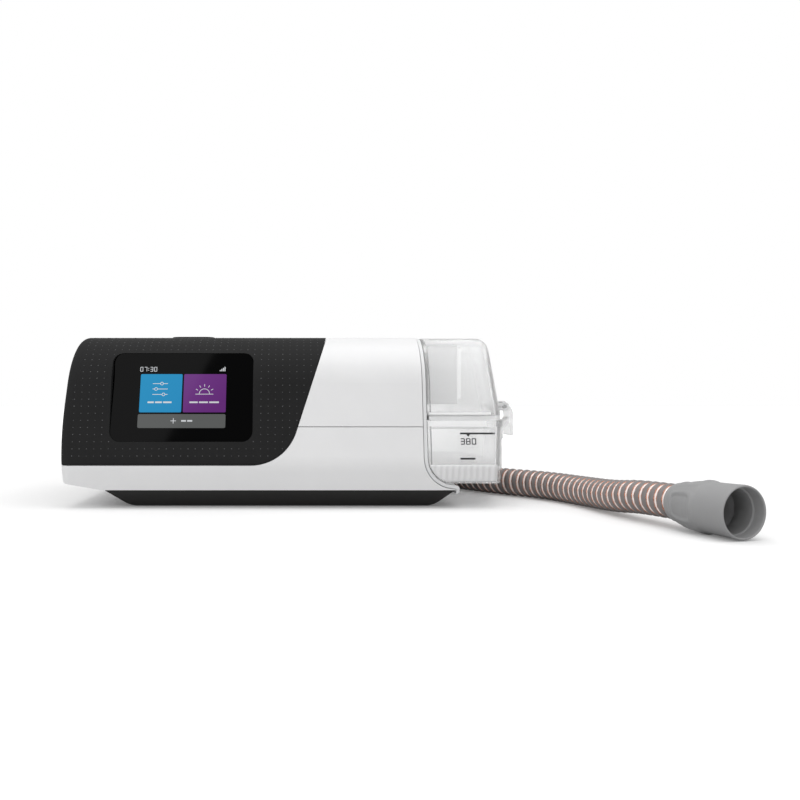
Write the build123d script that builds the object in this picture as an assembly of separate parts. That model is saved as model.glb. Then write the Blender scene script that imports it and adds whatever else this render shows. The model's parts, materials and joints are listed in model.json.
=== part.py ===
from build123d import *
import math
import os

# Bedside positive airway pressure machine with a clear humidifier tub and a heated hose.
# Millimetres. X runs from the screen end to the tub end, Y from front to back and Z up. The origin is on
# the surface that the machine stands on, under the middle of the machine's own outer box.

# ---- Machine as a whole ----
overall_width = 259.4
overall_depth = 138.5
overall_height = 95.6
seam_gap = 0.35
seat_gap = 0.1
soft_gap = 0.3

# ---- Housing ----
body_length = 196.2
wall = 2.4
belly_height = 24.0
front_lean = 10.5
under_lean = 8.2
left_lean = 4.6
left_under_lean = 3.8
left_bulge_height = 40.0
left_bulge_radius = 200.0
belly_radius = 25.0
front_top_radius = 33.0
rear_top_radius = 12.0
rear_belly_radius = 10.0
end_edge_radius = 5.0
left_foot_radius = 3.0
left_foot_height = 13.7
left_foot_run = 23.0
housing_split_height = 44.0
rear_split_depth = 9.0
tongue_reach = 17.5
tongue_root_height = 12.5
tongue_lip_height = 10.3
tongue_curve_radius = 17.0
tongue_rear_inset = 41.25
tongue_rear_reach = 31.0
floor_opening_inset = 10.5
floor_ledge = 7.8

# ---- Black front cover ----
cover_bottom_height = 23.4
cover_corner_reach = 121.8
cover_edge_slope = 72.0
cover_corner_radius = 25.6

# ---- Screen ----
window_width = 77.4
window_left_inset = 26.7
window_top_margin = 10.2
window_bottom_margin = 12.5
window_corner_radius = 5.7
window_lean = 16.5
window_recess = 3.0
window_thickness = 1.8
window_gap = 0.2
bezel_wall = 2.2
gasket_width = 3.0
gasket_thickness = 0.8
ledge_thickness = 1.5
display_margin = 3.7
display_thickness = 4.6

# ---- Start and stop button ----
button_width = 25.0
button_depth = 12.0
button_corner_radius = 5.9
button_left_inset = 66.7
button_front_inset = 47.75
button_proud = 0.9
button_gap = 0.3
button_travel = 0.8
button_flange = 1.5
button_flange_thickness = 1.2
dome_radius = 4.5
dome_height = 3.0
switch_size = 12.0
switch_height = 6.0

# ---- Base tray, feet and screws ----
foot_height = 0.5
foot_radius = 7.0
foot_thickness = 2.0
foot_margin = 4.5
foot_left_shift = 4.0
foot_rear_shift = 44.0
tray_height = 9.45
tray_end_radius = 10.0
tray_left_inset = 24.0
tray_left_bevel = 12.5
tray_right_bevel = 11.0
tray_front_inset = 2.8
tray_front_bevel = 9.0
tray_wall = 2.0
tray_floor = 2.6
boss_radius = 4.5
screw_radius = 1.45
screw_head_radius = 2.8
screw_head_height = 1.6
screw_bite = 6.0
screw_sink = 0.4
screw_left_reach = 35.2
screw_right_reach = 18.0
screw_side_inset = 19.5
chassis_thickness = 2.0
chassis_margin = 1.2

# ---- Tub bay and heater ----
bay_depth = 39.5
liner_wall = 1.8
rim_width = 2.1
rim_inset = 0.4
insulation_thickness = 1.2
heater_thickness = 2.4
heater_gap = 0.3
heater_width = 30.0
heater_depth = 64.0
port_radius = 9.0
port_seal_width = 3.0
port_seal_thickness = 1.2
dry_port_front_inset = 47.25
dry_port_z = 64.0
outlet_port_rear_inset = 41.25
outlet_z = 60.0

# ---- Humidifier tub ----
latch_stand_out = 10.3
tub_bow = 12.9
tub_bay_gap = 0.8
tub_face_inset = 0.5
tub_wall = 2.2
tub_rim_gap = 0.5
skirt_height = 13.7
skirt_depth = 7.0
base_top_height = 47.5
tub_flange = 0.9
tub_flange_height = 3.5
tub_seal_height = 2.7
tub_edge_radius = 5.0
lid_lean = 10.5
lid_lean_drop = 1.0
lid_edge_radius = 7.5
plate_thickness = 2.0
duct_width = 17.0
duct_depth = 26.0
duct_drop = 36.0
duct_wall = 1.5
duct_reach = 5.9
duct_front_inset = 41.25
latch_width = 18.0
latch_top_rise = 10.5
latch_pin_rise = 7.0
latch_tip_drop = 9.7
latch_hook_drop = 13.3
latch_hook_gap = 0.6
latch_barrel_radius = 2.4
latch_pin_radius = 1.2
latch_pin_inset = 5.4
latch_wall = 1.8
latch_ear_width = 2.0
catch_height = 2.0
catch_reach = 2.2
catch_width = 14.0
hinge_pin_radius = 1.1
hinge_knuckle_radius = 2.2
hinge_knuckle_length = 14.0
fit_gap = 0.05

# ---- Blower ----
blower_bay_distance = 53.0
blower_y = 2.0
blower_radius = 34.0
blower_bottom = 20.0
blower_height = 26.0
blower_wall = 2.0
nozzle_radius = 9.0
nozzle_wall = 1.8
impeller_radius = 26.0
impeller_height = 14.0
impeller_hub_radius = 7.0
impeller_blades = 9
blade_bow = 4.0
blade_thickness = 1.4
shaft_radius = 2.0
bearing_radius = 6.0
bearing_height = 4.0
motor_radius = 19.0
motor_height = 26.0
motor_wall = 1.6
stator_thickness = 5.5
magnet_radius = 9.5
mount_radius = 5.0
mount_circle_radius = 24.0

# ---- Electronics ----
board_thickness = 1.6
board_front_inset = 25.25
board_left_inset = 40.7
board_bay_distance = 41.0
board_bottom = 14.0
board_height = 56.0
board_post = 5.0
board_post_height = 30.0
chip_places = [
    (0.13, 0.22, 14.0, 14.0, 1.4),
    (0.59, 0.75, 10.0, 10.0, 1.2),
    (0.62, 0.14, 18.0, 8.0, 3.0),
]
wireless_place = (0.07, 0.61, 24.0, 16.0, 2.6)
buzzer_share = (0.45, 0.43)
sensor_share = (0.8, 0.46)
buzzer_radius = 6.0
buzzer_height = 4.0
sensor_size = 10.0
sensor_height = 4.0
sensor_port_radius = 1.4
ribbon_width = 16.0
ribbon_thickness = 0.4

# ---- Rear panel fittings ----
outlet_bay_distance = 19.0
outlet_radius = 11.0
outlet_bore = 9.0
outlet_end_inset = 0.75
outlet_recess_radius = 16.0
outlet_recess_depth = 15.0
fitting_wall = 1.5
filter_left_inset = 17.7
filter_width = 41.0
filter_bottom = 26.0
filter_height = 48.0
filter_pocket_depth = 12.0
filter_pad_thickness = 6.0
filter_pad_margin = 2.0
card_left_inset = 76.7
card_door_width = 30.0
card_door_bottom = 58.0
card_door_height = 13.0
card_pocket_depth = 5.0
card_width = 24.0
card_length = 32.0
card_thickness = 2.1
reader_wall = 2.0
cover_thickness = 2.0
cover_gap = 0.4
cover_pin_radius = 0.6
cover_barrel_radius = 1.35
cover_pin_inset = 1.9
cover_slot_width = 2.4
cover_slot_pitch = 5.0
power_left_inset = 89.7
power_z = 34.0
power_width = 18.0
power_height = 13.0
power_socket_width = 12.0
power_socket_height = 7.0
power_socket_depth = 10.0
power_length = 16.0
power_flange = 2.0
muffler_width = 23.0
muffler_depth = 26.0
muffler_height = 50.0

# ---- Hose ----
hose_diameter = 16.5
machine_cuff_radius = 13.5
machine_cuff_neck = 10.0
machine_cuff_taper = 12.0
mask_cuff_radius = 11.9
mask_cuff_bore = 9.8
mask_cuff_length = 37.4
mask_cuff_skin = 0.9
mask_cuff_neck_reach = 3.4
mask_cuff_neck_rise = 0.4
mask_cuff_swell_start = 9.2
mask_cuff_swell_end = 15.0
mask_cuff_grip_end = 19.0
mask_cuff_step_run = 1.5
mask_cuff_step = 0.35
mask_cuff_lip = 1.2
mask_bore_depth = 24.0
mask_bore_bevel = 0.6
mask_bore_step = 3.0
hose_bore = 7.5
coil_turn_radius = 82.5
coil_levels = 3
coil_turn_rise = 16.6
coil_distance = 125.75

# Free route of the hose from the machine cuff to the coil, measured from the outlet's middle at the rear face
lead_steps = [(0.0, 21.75, 0.0), (0.0, 50.75, 0.0), (-0.2, 84.75, -9.5), (0.0, 117.75, -17.5)]

# Free route from the coil to the mask cuff, measured from where it leaves the coil; its heights are absolute
run_steps = [
    (0.0, 0.0, 8.25),
    (43.0, -2.1, 8.25),
    (82.8, -5.6, 8.25),
    (118.0, -13.1, 8.25),
    (146.0, -28.6, 8.25),
    (166.1, -50.9, 8.25),
    (177.5, -76.5, 8.25),
    (196.0, -107.5, 8.25),
    (220.5, -136.5, 8.25),
    (231.5, -169.5, 8.25),
    (236.0, -204.5, 9.4),
    (240.2, -224.9, 11.9),
    (247.3, -248.4, 11.9),
]

# ---- Places that follow from the sizes above ----
left_x = -overall_width / 2
right_x = overall_width / 2
front_y = -overall_depth / 2
rear_y = overall_depth / 2
body_bottom = foot_height + tray_height
body_top = overall_height - button_proud
mouth_x = left_x + body_length
tongue_x = mouth_x + tongue_reach
tongue_rear_y = rear_y - tongue_rear_inset
bay_back_x = mouth_x - bay_depth
rear_split_y = rear_y - rear_split_depth
tub_end_x = right_x - latch_stand_out
tub_corner_x = tub_end_x - tub_bow
tub_bow_radius = (overall_depth**2 / 4 + tub_bow**2) / (2 * tub_bow)
tub_inner_x = bay_back_x + liner_wall + port_seal_thickness + soft_gap
tub_outer_x = mouth_x + rim_width + tub_rim_gap
lid_bottom_height = base_top_height + tub_seal_height
lid_lean_height = base_top_height - lid_lean_drop
lid_top = body_top - tub_face_inset
bay_floor_height = body_bottom + wall + soft_gap + liner_wall
heater_top = bay_floor_height + insulation_thickness + heater_thickness
tub_floor_height = heater_top + heater_gap + plate_thickness
latch_pin_height = base_top_height + latch_pin_rise
latch_top_height = base_top_height + latch_top_rise
latch_tip_height = base_top_height - latch_tip_drop
latch_hook_height = base_top_height - latch_hook_drop
cover_corner_x = left_x + cover_corner_reach
window_centre_x = left_x + window_left_inset + window_width / 2
window_top = body_top - window_top_margin
window_bottom = cover_bottom_height + window_bottom_margin
window_centre_z = (window_top + window_bottom) / 2
window_height = (window_top - window_bottom) / math.cos(math.radians(window_lean))
display_width = window_width - 2 * display_margin
display_height = window_height - 2 * display_margin
button_centre_x = left_x + button_left_inset
button_centre_y = front_y + button_front_inset
dry_port_y = front_y + dry_port_front_inset
outlet_port_y = rear_y - outlet_port_rear_inset
duct_x = tub_outer_x + duct_reach + duct_width / 2
duct_y = front_y + duct_front_inset + duct_depth / 2
blower_x = bay_back_x - blower_bay_distance
board_left = left_x + board_left_inset
board_right = bay_back_x - board_bay_distance
board_y = front_y + board_front_inset
outlet_x = bay_back_x - outlet_bay_distance
filter_left = left_x + filter_left_inset
card_left = left_x + card_left_inset
power_x = left_x + power_left_inset
coil_centre = (outlet_x - coil_turn_radius, rear_y + coil_distance)
lead_route = [(outlet_x + x, rear_y + y, outlet_z + z) for x, y, z in lead_steps]
run_route = [(coil_centre[0] + x, coil_centre[1] - coil_turn_radius + y, z) for x, y, z in run_steps]
chassis_bottom = body_bottom + seat_gap
chassis_top = chassis_bottom + chassis_thickness
far = 400.0


# ---- Shared shapes ----
def rounded_outline(corners):
    """Closed flat face through (u, v, radius) corners, each rounded by its own radius."""
    points = [(u, v) for u, v, radius in corners]
    radii = [radius for u, v, radius in corners]
    return make_face(FilletPolyline(*points, radius=radii, close=True))


def prism_x(face, low, high):
    """Solid of a (Y, Z) face between two X planes."""
    return extrude(Plane.YZ.offset(low) * face, amount=high - low)


def prism_y(face, low, high):
    """Solid of an (X, Z) face between two Y planes."""
    return extrude(Plane.XZ.offset(-high) * face, amount=high - low)


def prism_z(face, low, high):
    """Solid of an (X, Y) face between two Z planes."""
    return extrude(Plane.XY.offset(low) * face, amount=high - low)


def block(low, high):
    """Box between two opposite corners."""
    size = [b - a for a, b in zip(low, high)]
    middle = [(a + b) / 2 for a, b in zip(low, high)]
    return Pos(*middle) * Box(*size)


def rod(start, end, radius):
    """Round bar between two points."""
    start, end = Vector(*start), Vector(*end)
    return extrude(Plane(origin=start, z_dir=end - start) * Circle(radius), amount=(end - start).length)


def ring(start, end, outer, inner):
    """Round tube between two points."""
    return rod(start, end, outer) - rod(start, end, inner)


def elbow_pipe(points, outer, inner):
    """Pipe with ball corners along a few points, open at both ends."""
    skin = rod(points[0], points[1], outer)
    hollow = rod(points[0], points[1], inner)
    for start, end in zip(points[1:], points[2:]):
        skin += Pos(*start) * Sphere(outer) + rod(start, end, outer)
        hollow += Pos(*start) * Sphere(inner) + rod(start, end, inner)
    return skin - hollow


def rounded_bar(centre, width, depth, radius, low, high):
    """Upright bar with a rounded rectangular section."""
    section = Pos(centre[0], centre[1]) * RectangleRounded(width, depth, radius)
    return prism_z(section, low, high)


def corner_stand_out(radius, below, above):
    """How far a rounded corner's sharp point lies outside the round's furthest reach."""
    turn = math.radians(below + above) / 2
    tilt = math.radians(above - below) / 2
    return radius * (math.cos(tilt) / math.cos(turn) - 1)


# ---- Outer form of the housing ----
def side_outline(inset):
    """Section of the housing across its width, as (Y, Z)."""
    belly_y = front_y - corner_stand_out(belly_radius, under_lean, front_lean)
    under = (belly_height - body_bottom) * math.tan(math.radians(under_lean))
    top_y = belly_y + (body_top - belly_height) * math.tan(math.radians(front_lean))
    outline = rounded_outline(
        [
            (belly_y + under, body_bottom, 0),
            (belly_y, belly_height, belly_radius),
            (top_y, body_top, front_top_radius),
            (rear_y, body_top, rear_top_radius),
            (rear_y, belly_height, rear_belly_radius),
            (rear_y - under, body_bottom, 0),
        ]
    )
    return offset(outline, amount=-inset) if inset else outline


def left_edge_x(height):
    """X of the screen end at a height, where its two leaning runs meet at a wide round."""
    start = left_x - corner_stand_out(left_bulge_radius, left_under_lean, left_lean)
    lean = left_lean if height > left_bulge_height else -left_under_lean
    return start + (height - left_bulge_height) * math.tan(math.radians(lean))


def front_outline(inset):
    """Section of the housing across its depth, as (X, Z), with the tongue that runs under the tub."""
    outline = rounded_outline(
        [
            (left_x + left_foot_run, body_bottom, 0),
            (left_edge_x(left_foot_height), left_foot_height, left_foot_radius),
            (left_edge_x(left_bulge_height), left_bulge_height, left_bulge_radius),
            (left_edge_x(body_top), body_top, 0),
            (mouth_x, body_top, 0),
            (mouth_x, tongue_root_height, tongue_curve_radius),
            (tongue_x, tongue_lip_height, 0),
            (tongue_x, body_bottom, 0),
        ]
    )
    return offset(outline, amount=-inset) if inset else outline


def behind_tongue():
    """Space behind the tongue, where the hose passes."""
    corners = [
        (tongue_x + 10, tongue_rear_y, 0),
        (tongue_x, tongue_rear_y, 0),
        (mouth_x + rim_width, tongue_rear_y + tongue_rear_reach, 0),
        (mouth_x + rim_width, far, 0),
        (tongue_x + 10, far, 0),
    ]
    return prism_z(rounded_outline(corners), -far, body_top / 3)


def end_edges(solid):
    """Edges round the screen end, except those under it and between its own faces."""
    count = {}
    for face in solid.faces().filter_by(lambda f: f.normal_at().X < -0.9):
        for edge in face.edges():
            place = tuple(round(v, 3) for v in edge.center())
            count.setdefault(place, []).append(edge)
    return [edges[0] for place, edges in count.items() if len(edges) == 1 and place[2] > body_bottom + 0.01]


def housing_form(inset):
    """Whole outer form, or the form of its inside."""
    end = rounded_outline(
        [
            (left_edge_x(body_bottom) + inset, body_bottom, 0),
            (left_edge_x(left_bulge_height) + inset, left_bulge_height, left_bulge_radius - inset),
            (left_edge_x(body_top) + inset, body_top, 0),
            (tongue_x, body_top, 0),
            (tongue_x, body_bottom, 0),
        ]
    )
    form = prism_x(side_outline(inset), left_x - 5, tongue_x + 5) & prism_y(end, -far, far)
    form = fillet(end_edges(form), end_edge_radius - inset)
    return form & prism_y(front_outline(inset), -far, far)


def cover_region(grow):
    """(X, Z) region of the black cover on the front, grown by half a seam or shrunk by it."""
    slope = math.tan(math.radians(cover_edge_slope))
    top = body_top + 10
    outline = rounded_outline(
        [
            (left_x - 10, cover_bottom_height, 0),
            (cover_corner_x, cover_bottom_height, cover_corner_radius),
            (cover_corner_x + (top - cover_bottom_height) / slope, top, 0),
            (left_x - 10, top, 0),
        ]
    )
    return offset(outline, amount=grow)


def housing_shell():
    """Housing wall before it is divided into covers."""
    inside = housing_form(wall)
    way_down = block(
        (left_x + left_foot_run + floor_opening_inset, front_y + floor_ledge, -5),
        (mouth_x - wall, rear_y - floor_ledge, body_bottom + 2 * wall),
    )
    mouth = prism_x(side_outline(wall), mouth_x - 3 * wall, tongue_x + 5)
    mouth &= block((0, -far, bay_floor_height), (far, far, far))
    return housing_form(0) - inside - way_down - mouth - behind_tongue()


# ---- Screen ----
def window_plane():
    """Plane of the glass's outer face, with its normal pointing out of the machine."""
    lean = math.radians(window_lean)
    belly_y = front_y - corner_stand_out(belly_radius, under_lean, front_lean)
    surface_y = belly_y + (window_centre_z - belly_height) * math.tan(math.radians(front_lean))
    origin = (window_centre_x, surface_y + window_recess, window_centre_z)
    return Plane(origin=origin, x_dir=(1, 0, 0), z_dir=(0, -math.cos(lean), math.sin(lean)))


def window_slab(width, height, radius, low, high):
    """Rounded slab parallel to the glass, between two distances from its outer face."""
    section = RectangleRounded(width, height, radius)
    return extrude(window_plane().offset(low) * section, amount=high - low)


def make_screen(parts):
    """Glass, gasket and display, and the bezel that the front cover holds them with."""
    width = window_width - 2 * window_gap
    height = window_height - 2 * window_gap
    radius = window_corner_radius - window_gap
    seat = -window_thickness - gasket_thickness
    parts["display_window"] = window_slab(width, height, radius, -window_thickness, 0)
    opening_width = width - 2 * gasket_width
    opening_height = height - 2 * gasket_width
    opening_radius = radius - gasket_width
    parts["display_gasket"] = window_slab(width, height, radius, seat, -window_thickness) - window_slab(
        opening_width, opening_height, opening_radius, seat, -window_thickness
    )
    back = -window_thickness - display_thickness
    parts["display_module"] = window_slab(display_width, display_height, 1.0, back, -window_thickness)
    bezel = window_slab(
        window_width + 2 * bezel_wall,
        window_height + 2 * bezel_wall,
        window_corner_radius + bezel_wall,
        seat - seat_gap - ledge_thickness,
        15,
    )
    opening = window_slab(window_width, window_height, window_corner_radius, seat - seat_gap, 20)
    opening += window_slab(opening_width, opening_height, opening_radius, -20, 20)
    return bezel & housing_form(0), opening


# ---- Start and stop button ----
def make_button(parts):
    """Button with its rubber dome and switch, and the hole that it moves in."""
    centre = (button_centre_x, button_centre_y)
    flange_top = body_top - wall - seat_gap
    flange_bottom = flange_top - button_flange_thickness
    span = (flange_bottom, overall_height)
    button = rounded_bar(centre, button_width, button_depth, button_corner_radius, *span)
    button = fillet(button.faces().sort_by(Axis.Z)[-1].edges(), button_proud / 2)
    button += rounded_bar(
        centre,
        button_width + 2 * button_flange,
        button_depth + 2 * button_flange,
        button_corner_radius + button_flange,
        flange_bottom,
        flange_top,
    )
    parts["start_stop_button"] = button
    dome_bottom = flange_bottom - dome_height
    parts["button_dome"] = rod((*centre, dome_bottom), (*centre, flange_bottom), dome_radius)
    half = switch_size / 2
    parts["button_switch"] = block(
        (centre[0] - half, centre[1] - half, dome_bottom - switch_height),
        (centre[0] + half, centre[1] + half, dome_bottom),
    )
    return rounded_bar(
        centre,
        button_width + 2 * button_gap,
        button_depth + 2 * button_gap,
        button_corner_radius + button_gap,
        body_top - 3 * wall,
        body_top + 5,
    )


def switch_seat_height():
    """Height of the chassis tower that carries the button's switch."""
    return body_top - wall - seat_gap - button_flange_thickness - dome_height - switch_height


# ---- Rear panel and what it holds ----
def cover_pocket(left, width, bottom, height, depth):
    """Pocket in the rear panel, sunk from its outer face."""
    return block((left, rear_y - depth, bottom), (left + width, rear_y + 5, bottom + height))


def hinged_cover(left, width, bottom, height):
    """Flush cover that turns on an upright pin near its left edge, and that pin."""
    pin_x = left + cover_pin_inset
    pin_y = rear_y - cover_barrel_radius
    low, high = bottom + cover_gap, bottom + height - cover_gap
    cover = block((pin_x, rear_y - cover_thickness, low), (left + width - cover_gap, rear_y, high))
    cover += rod((pin_x, pin_y, low), (pin_x, pin_y, high), cover_barrel_radius)
    reach = fitting_wall / 2
    pin = rod((pin_x, pin_y, bottom - reach), (pin_x, pin_y, bottom + height + reach), cover_pin_radius)
    cover -= rod((pin_x, pin_y, low - 1), (pin_x, pin_y, high + 1), cover_pin_radius + fit_gap)
    return cover, pin


def make_rear(parts, panel):
    """Rear panel with its filter, card slot, power inlet and air outlet."""
    back = fitting_wall
    recess_y = rear_y - outlet_recess_depth
    panel += rod(
        (outlet_x, recess_y - back, outlet_z),
        (outlet_x, rear_y - wall / 2, outlet_z),
        outlet_recess_radius + back,
    )
    panel -= rod((outlet_x, recess_y, outlet_z), (outlet_x, rear_y + 5, outlet_z), outlet_recess_radius)
    panel -= rod((outlet_x, 0, outlet_z), (outlet_x, rear_y, outlet_z), outlet_radius + seat_gap)

    for left, width, bottom, height, depth in (
        (filter_left, filter_width, filter_bottom, filter_height, filter_pocket_depth),
        (card_left, card_door_width, card_door_bottom, card_door_height, card_pocket_depth),
    ):
        panel += block(
            (left - back, rear_y - depth - back, bottom - back),
            (left + width + back, rear_y - wall / 2, bottom + height + back),
        )
        panel -= cover_pocket(left, width, bottom, height, depth)

    filter_cover, filter_pin = hinged_cover(filter_left, filter_width, filter_bottom, filter_height)
    slot_low = filter_bottom + 3 * cover_gap + cover_slot_pitch
    slot_count = int((filter_height - 2 * cover_slot_pitch) // cover_slot_pitch)
    for index in range(slot_count):
        low = slot_low + index * cover_slot_pitch
        filter_cover -= block(
            (filter_left + 3 * cover_pin_inset, rear_y - 5, low),
            (filter_left + filter_width - 3 * cover_pin_inset, rear_y + 5, low + cover_slot_width),
        )
    parts["filter_cover"] = filter_cover
    door, door_pin = hinged_cover(card_left, card_door_width, card_door_bottom, card_door_height)
    parts["card_door"] = door
    parts["cover_pins"] = Compound(children=[filter_pin.solid(), door_pin.solid()])
    for pin in (filter_pin, door_pin):
        low, high = pin.bounding_box().min, pin.bounding_box().max
        x, y = low.X + cover_pin_radius, low.Y + cover_pin_radius
        panel -= rod((x, y, low.Z - fit_gap), (x, y, high.Z + fit_gap), cover_pin_radius + fit_gap)

    margin = filter_pad_margin
    pocket_floor = rear_y - filter_pocket_depth
    panel -= block(
        (filter_left + 3 * margin, pocket_floor - 5, filter_bottom + 3 * margin),
        (filter_left + filter_width - 3 * margin, rear_y - 5, filter_bottom + filter_height - 3 * margin),
    )
    parts["air_filter"] = block(
        (filter_left + margin, pocket_floor + soft_gap, filter_bottom + soft_gap),
        (
            filter_left + filter_width - margin,
            pocket_floor + soft_gap + filter_pad_thickness,
            filter_bottom + filter_height - margin,
        ),
    )

    card_middle_x = card_left + card_door_width / 2
    card_middle_z = card_door_bottom + card_door_height / 2
    card_floor = rear_y - card_pocket_depth
    card_end = card_floor + fitting_wall

    def card_block(width, height, low, high):
        return block(
            (card_middle_x - width / 2, low, card_middle_z - height / 2),
            (card_middle_x + width / 2, high, card_middle_z + height / 2),
        )

    slot = card_block(
        card_width + 2 * seat_gap, card_thickness + 2 * seat_gap, card_end - card_length, card_floor + 5
    )
    panel -= slot
    reader_front = card_floor - back - seat_gap
    reader = card_block(
        card_width + 2 * reader_wall,
        card_thickness + 2 * reader_wall,
        card_end - card_length - reader_wall,
        reader_front,
    )
    parts["card_reader"] = reader - slot
    parts["memory_card"] = card_block(card_width, card_thickness, card_end - card_length + seat_gap, card_end)

    def power_block(width, height, low, high):
        return block(
            (power_x - width / 2, low, power_z - height / 2),
            (power_x + width / 2, high, power_z + height / 2),
        )

    hole_width = power_width + 2 * seat_gap
    hole_height = power_height + 2 * seat_gap
    panel -= power_block(hole_width, hole_height, rear_y - power_length, rear_y + 5)
    flange_width = power_width + 2 * power_flange
    flange_height = power_height + 2 * power_flange
    inlet = power_block(power_width, power_height, rear_y - power_length, rear_y - seat_gap)
    inlet += power_block(flange_width, flange_height, rear_y - power_length, rear_y - wall - seat_gap)
    inlet -= power_block(power_socket_width, power_socket_height, rear_y - power_socket_depth, rear_y + 5)
    parts["power_inlet"] = inlet
    parts["rear_panel"] = panel
    corner = (outlet_x, outlet_port_y, outlet_z)
    end = (outlet_x, rear_y - outlet_end_inset, outlet_z)
    inner = (bay_back_x - seat_gap, outlet_port_y, outlet_z)
    parts["outlet_connector"] = elbow_pipe([end, corner, inner], outlet_radius, outlet_bore)
    muffler_back = pocket_floor - back - soft_gap
    muffler_right = filter_left + filter_width
    parts["inlet_muffler"] = block(
        (muffler_right - muffler_width, muffler_back - muffler_depth, chassis_top),
        (muffler_right, muffler_back, chassis_top + muffler_height),
    )


# ---- Housing covers ----
def make_housing(parts):
    """Divides the housing wall into front cover, upper and lower housing and rear panel."""
    shell = housing_shell()
    half = seam_gap / 2
    front_part = block((-far, -far, -far), (far, rear_split_y - half, far))
    rear_part = block((-far, rear_split_y + half, -far), (far, far, far))
    cover = shell & prism_y(cover_region(-half), -far, rear_split_y - half)
    rest = (shell & front_part) - prism_y(cover_region(half), -far, far)
    bezel, opening = make_screen(parts)
    button_hole = make_button(parts)
    parts["front_cover"] = cover + bezel - opening - button_hole
    parts["upper_housing"] = rest & block((-far, -far, housing_split_height + half), (far, far, far))
    parts["lower_housing"] = rest & block((-far, -far, -far), (far, far, housing_split_height - half))
    make_rear(parts, shell & rear_part)


# ---- Base tray, feet, screws and chassis ----
def screw_places():
    """(X, Y) of the screws that hold the tray and chassis together."""
    left = left_x + tray_left_inset + tray_left_bevel + screw_left_reach
    right = mouth_x - screw_right_reach
    side = overall_depth / 2 - screw_side_inset
    return [(left, -side), (left, side), (right, -side), (right, side), ((left + right) / 2, side)]


def foot_places():
    """(X, Y) of the rubber feet."""
    left = left_x + tray_left_inset + tray_left_bevel + foot_radius + foot_left_shift
    right = tongue_x - tray_right_bevel - foot_radius - foot_margin
    side = overall_depth / 2 - tray_front_inset - tray_front_bevel - foot_radius - foot_margin
    return [(left, -side), (left, side), (right, -side), (right - foot_rear_shift, side)]


def tray_form(inset, bottom):
    """Bevelled block of the tray, or its inside."""
    front = rounded_outline(
        [
            (left_x + tray_left_inset + inset, body_bottom, 0),
            (left_x + tray_left_inset + tray_left_bevel + inset, bottom, tray_end_radius - inset),
            (tongue_x - tray_right_bevel - inset, bottom, tray_end_radius - inset),
            (tongue_x - inset, body_bottom, 0),
        ]
    )
    reach = overall_depth / 2 - tray_front_inset - inset
    side = rounded_outline(
        [
            (-reach, body_bottom, 0),
            (-reach + tray_front_bevel, bottom, 0),
            (reach - tray_front_bevel, bottom, 0),
            (reach, body_bottom, 0),
        ]
    )
    return prism_y(front, -far, far) & prism_x(side, -far, far)


def make_base(parts):
    """Tray with bosses, feet in shallow pockets, screws, and the chassis that they hold."""
    floor = foot_height + tray_floor
    inside = tray_form(tray_wall, floor) - block((-far, -far, -far), (far, far, floor))
    space = behind_tongue()
    tray = tray_form(0, foot_height) - space
    tray -= inside - Pos(-tray_wall, -tray_wall, 0) * space
    feet = []
    for x, y in foot_places():
        tray -= rod((x, y, 0), (x, y, foot_thickness), foot_radius + seat_gap)
        feet.append(rod((x, y, 0), (x, y, foot_thickness), foot_radius).solid())
    parts["rubber_feet"] = Compound(children=feet)

    margin = floor_ledge + chassis_margin
    chassis = block(
        (left_x + left_foot_run + floor_opening_inset + chassis_margin, front_y + margin, chassis_bottom),
        (mouth_x - wall - chassis_margin, rear_y - margin, chassis_top),
    )
    screws = []
    head_bottom = foot_height + screw_sink
    head_top = head_bottom + screw_head_height
    screw_top = chassis_top + screw_bite
    for x, y in screw_places():
        under_bay = x > bay_back_x - 2 * boss_radius
        top = chassis_top - seat_gap if under_bay else screw_top
        tray += rod((x, y, foot_height), (x, y, body_bottom), boss_radius)
        tray -= rod((x, y, 0), (x, y, head_top), screw_head_radius + seat_gap)
        tray -= rod((x, y, 0), (x, y, body_bottom + 1), screw_radius + seat_gap)
        if not under_bay:
            chassis += rod((x, y, chassis_bottom), (x, y, screw_top + 1), boss_radius)
        chassis -= rod((x, y, 0), (x, y, screw_top), screw_radius + fit_gap)
        screw = rod((x, y, head_bottom), (x, y, head_top), screw_head_radius)
        screw += rod((x, y, head_bottom), (x, y, top), screw_radius)
        screws.append(screw.solid())
    parts["base_screws"] = Compound(children=screws)
    parts["base_tray"] = tray

    for left, right in (
        (board_left - board_post, board_left + board_post),
        (board_right - board_post, board_right + board_post),
    ):
        post = block(
            (left, board_y - board_post / 2, chassis_bottom),
            (right, board_y + board_thickness + board_post / 2, board_bottom + board_post_height),
        )
        chassis += post
    chassis -= block(
        (board_left - seat_gap, board_y - seat_gap, board_bottom - seat_gap),
        (board_right + seat_gap, board_y + board_thickness + seat_gap, far),
    )
    half = switch_size / 2
    chassis += block(
        (button_centre_x - half, button_centre_y - half, chassis_bottom),
        (button_centre_x + half, button_centre_y + half, switch_seat_height()),
    )
    parts["chassis"] = chassis


# ---- Tub bay and heater ----
def rim_outline(gap):
    """(X, Z) outline of the pale rim's outer edge, or of a gap round it."""
    return offset(front_outline(0), amount=rim_width + gap)


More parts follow.
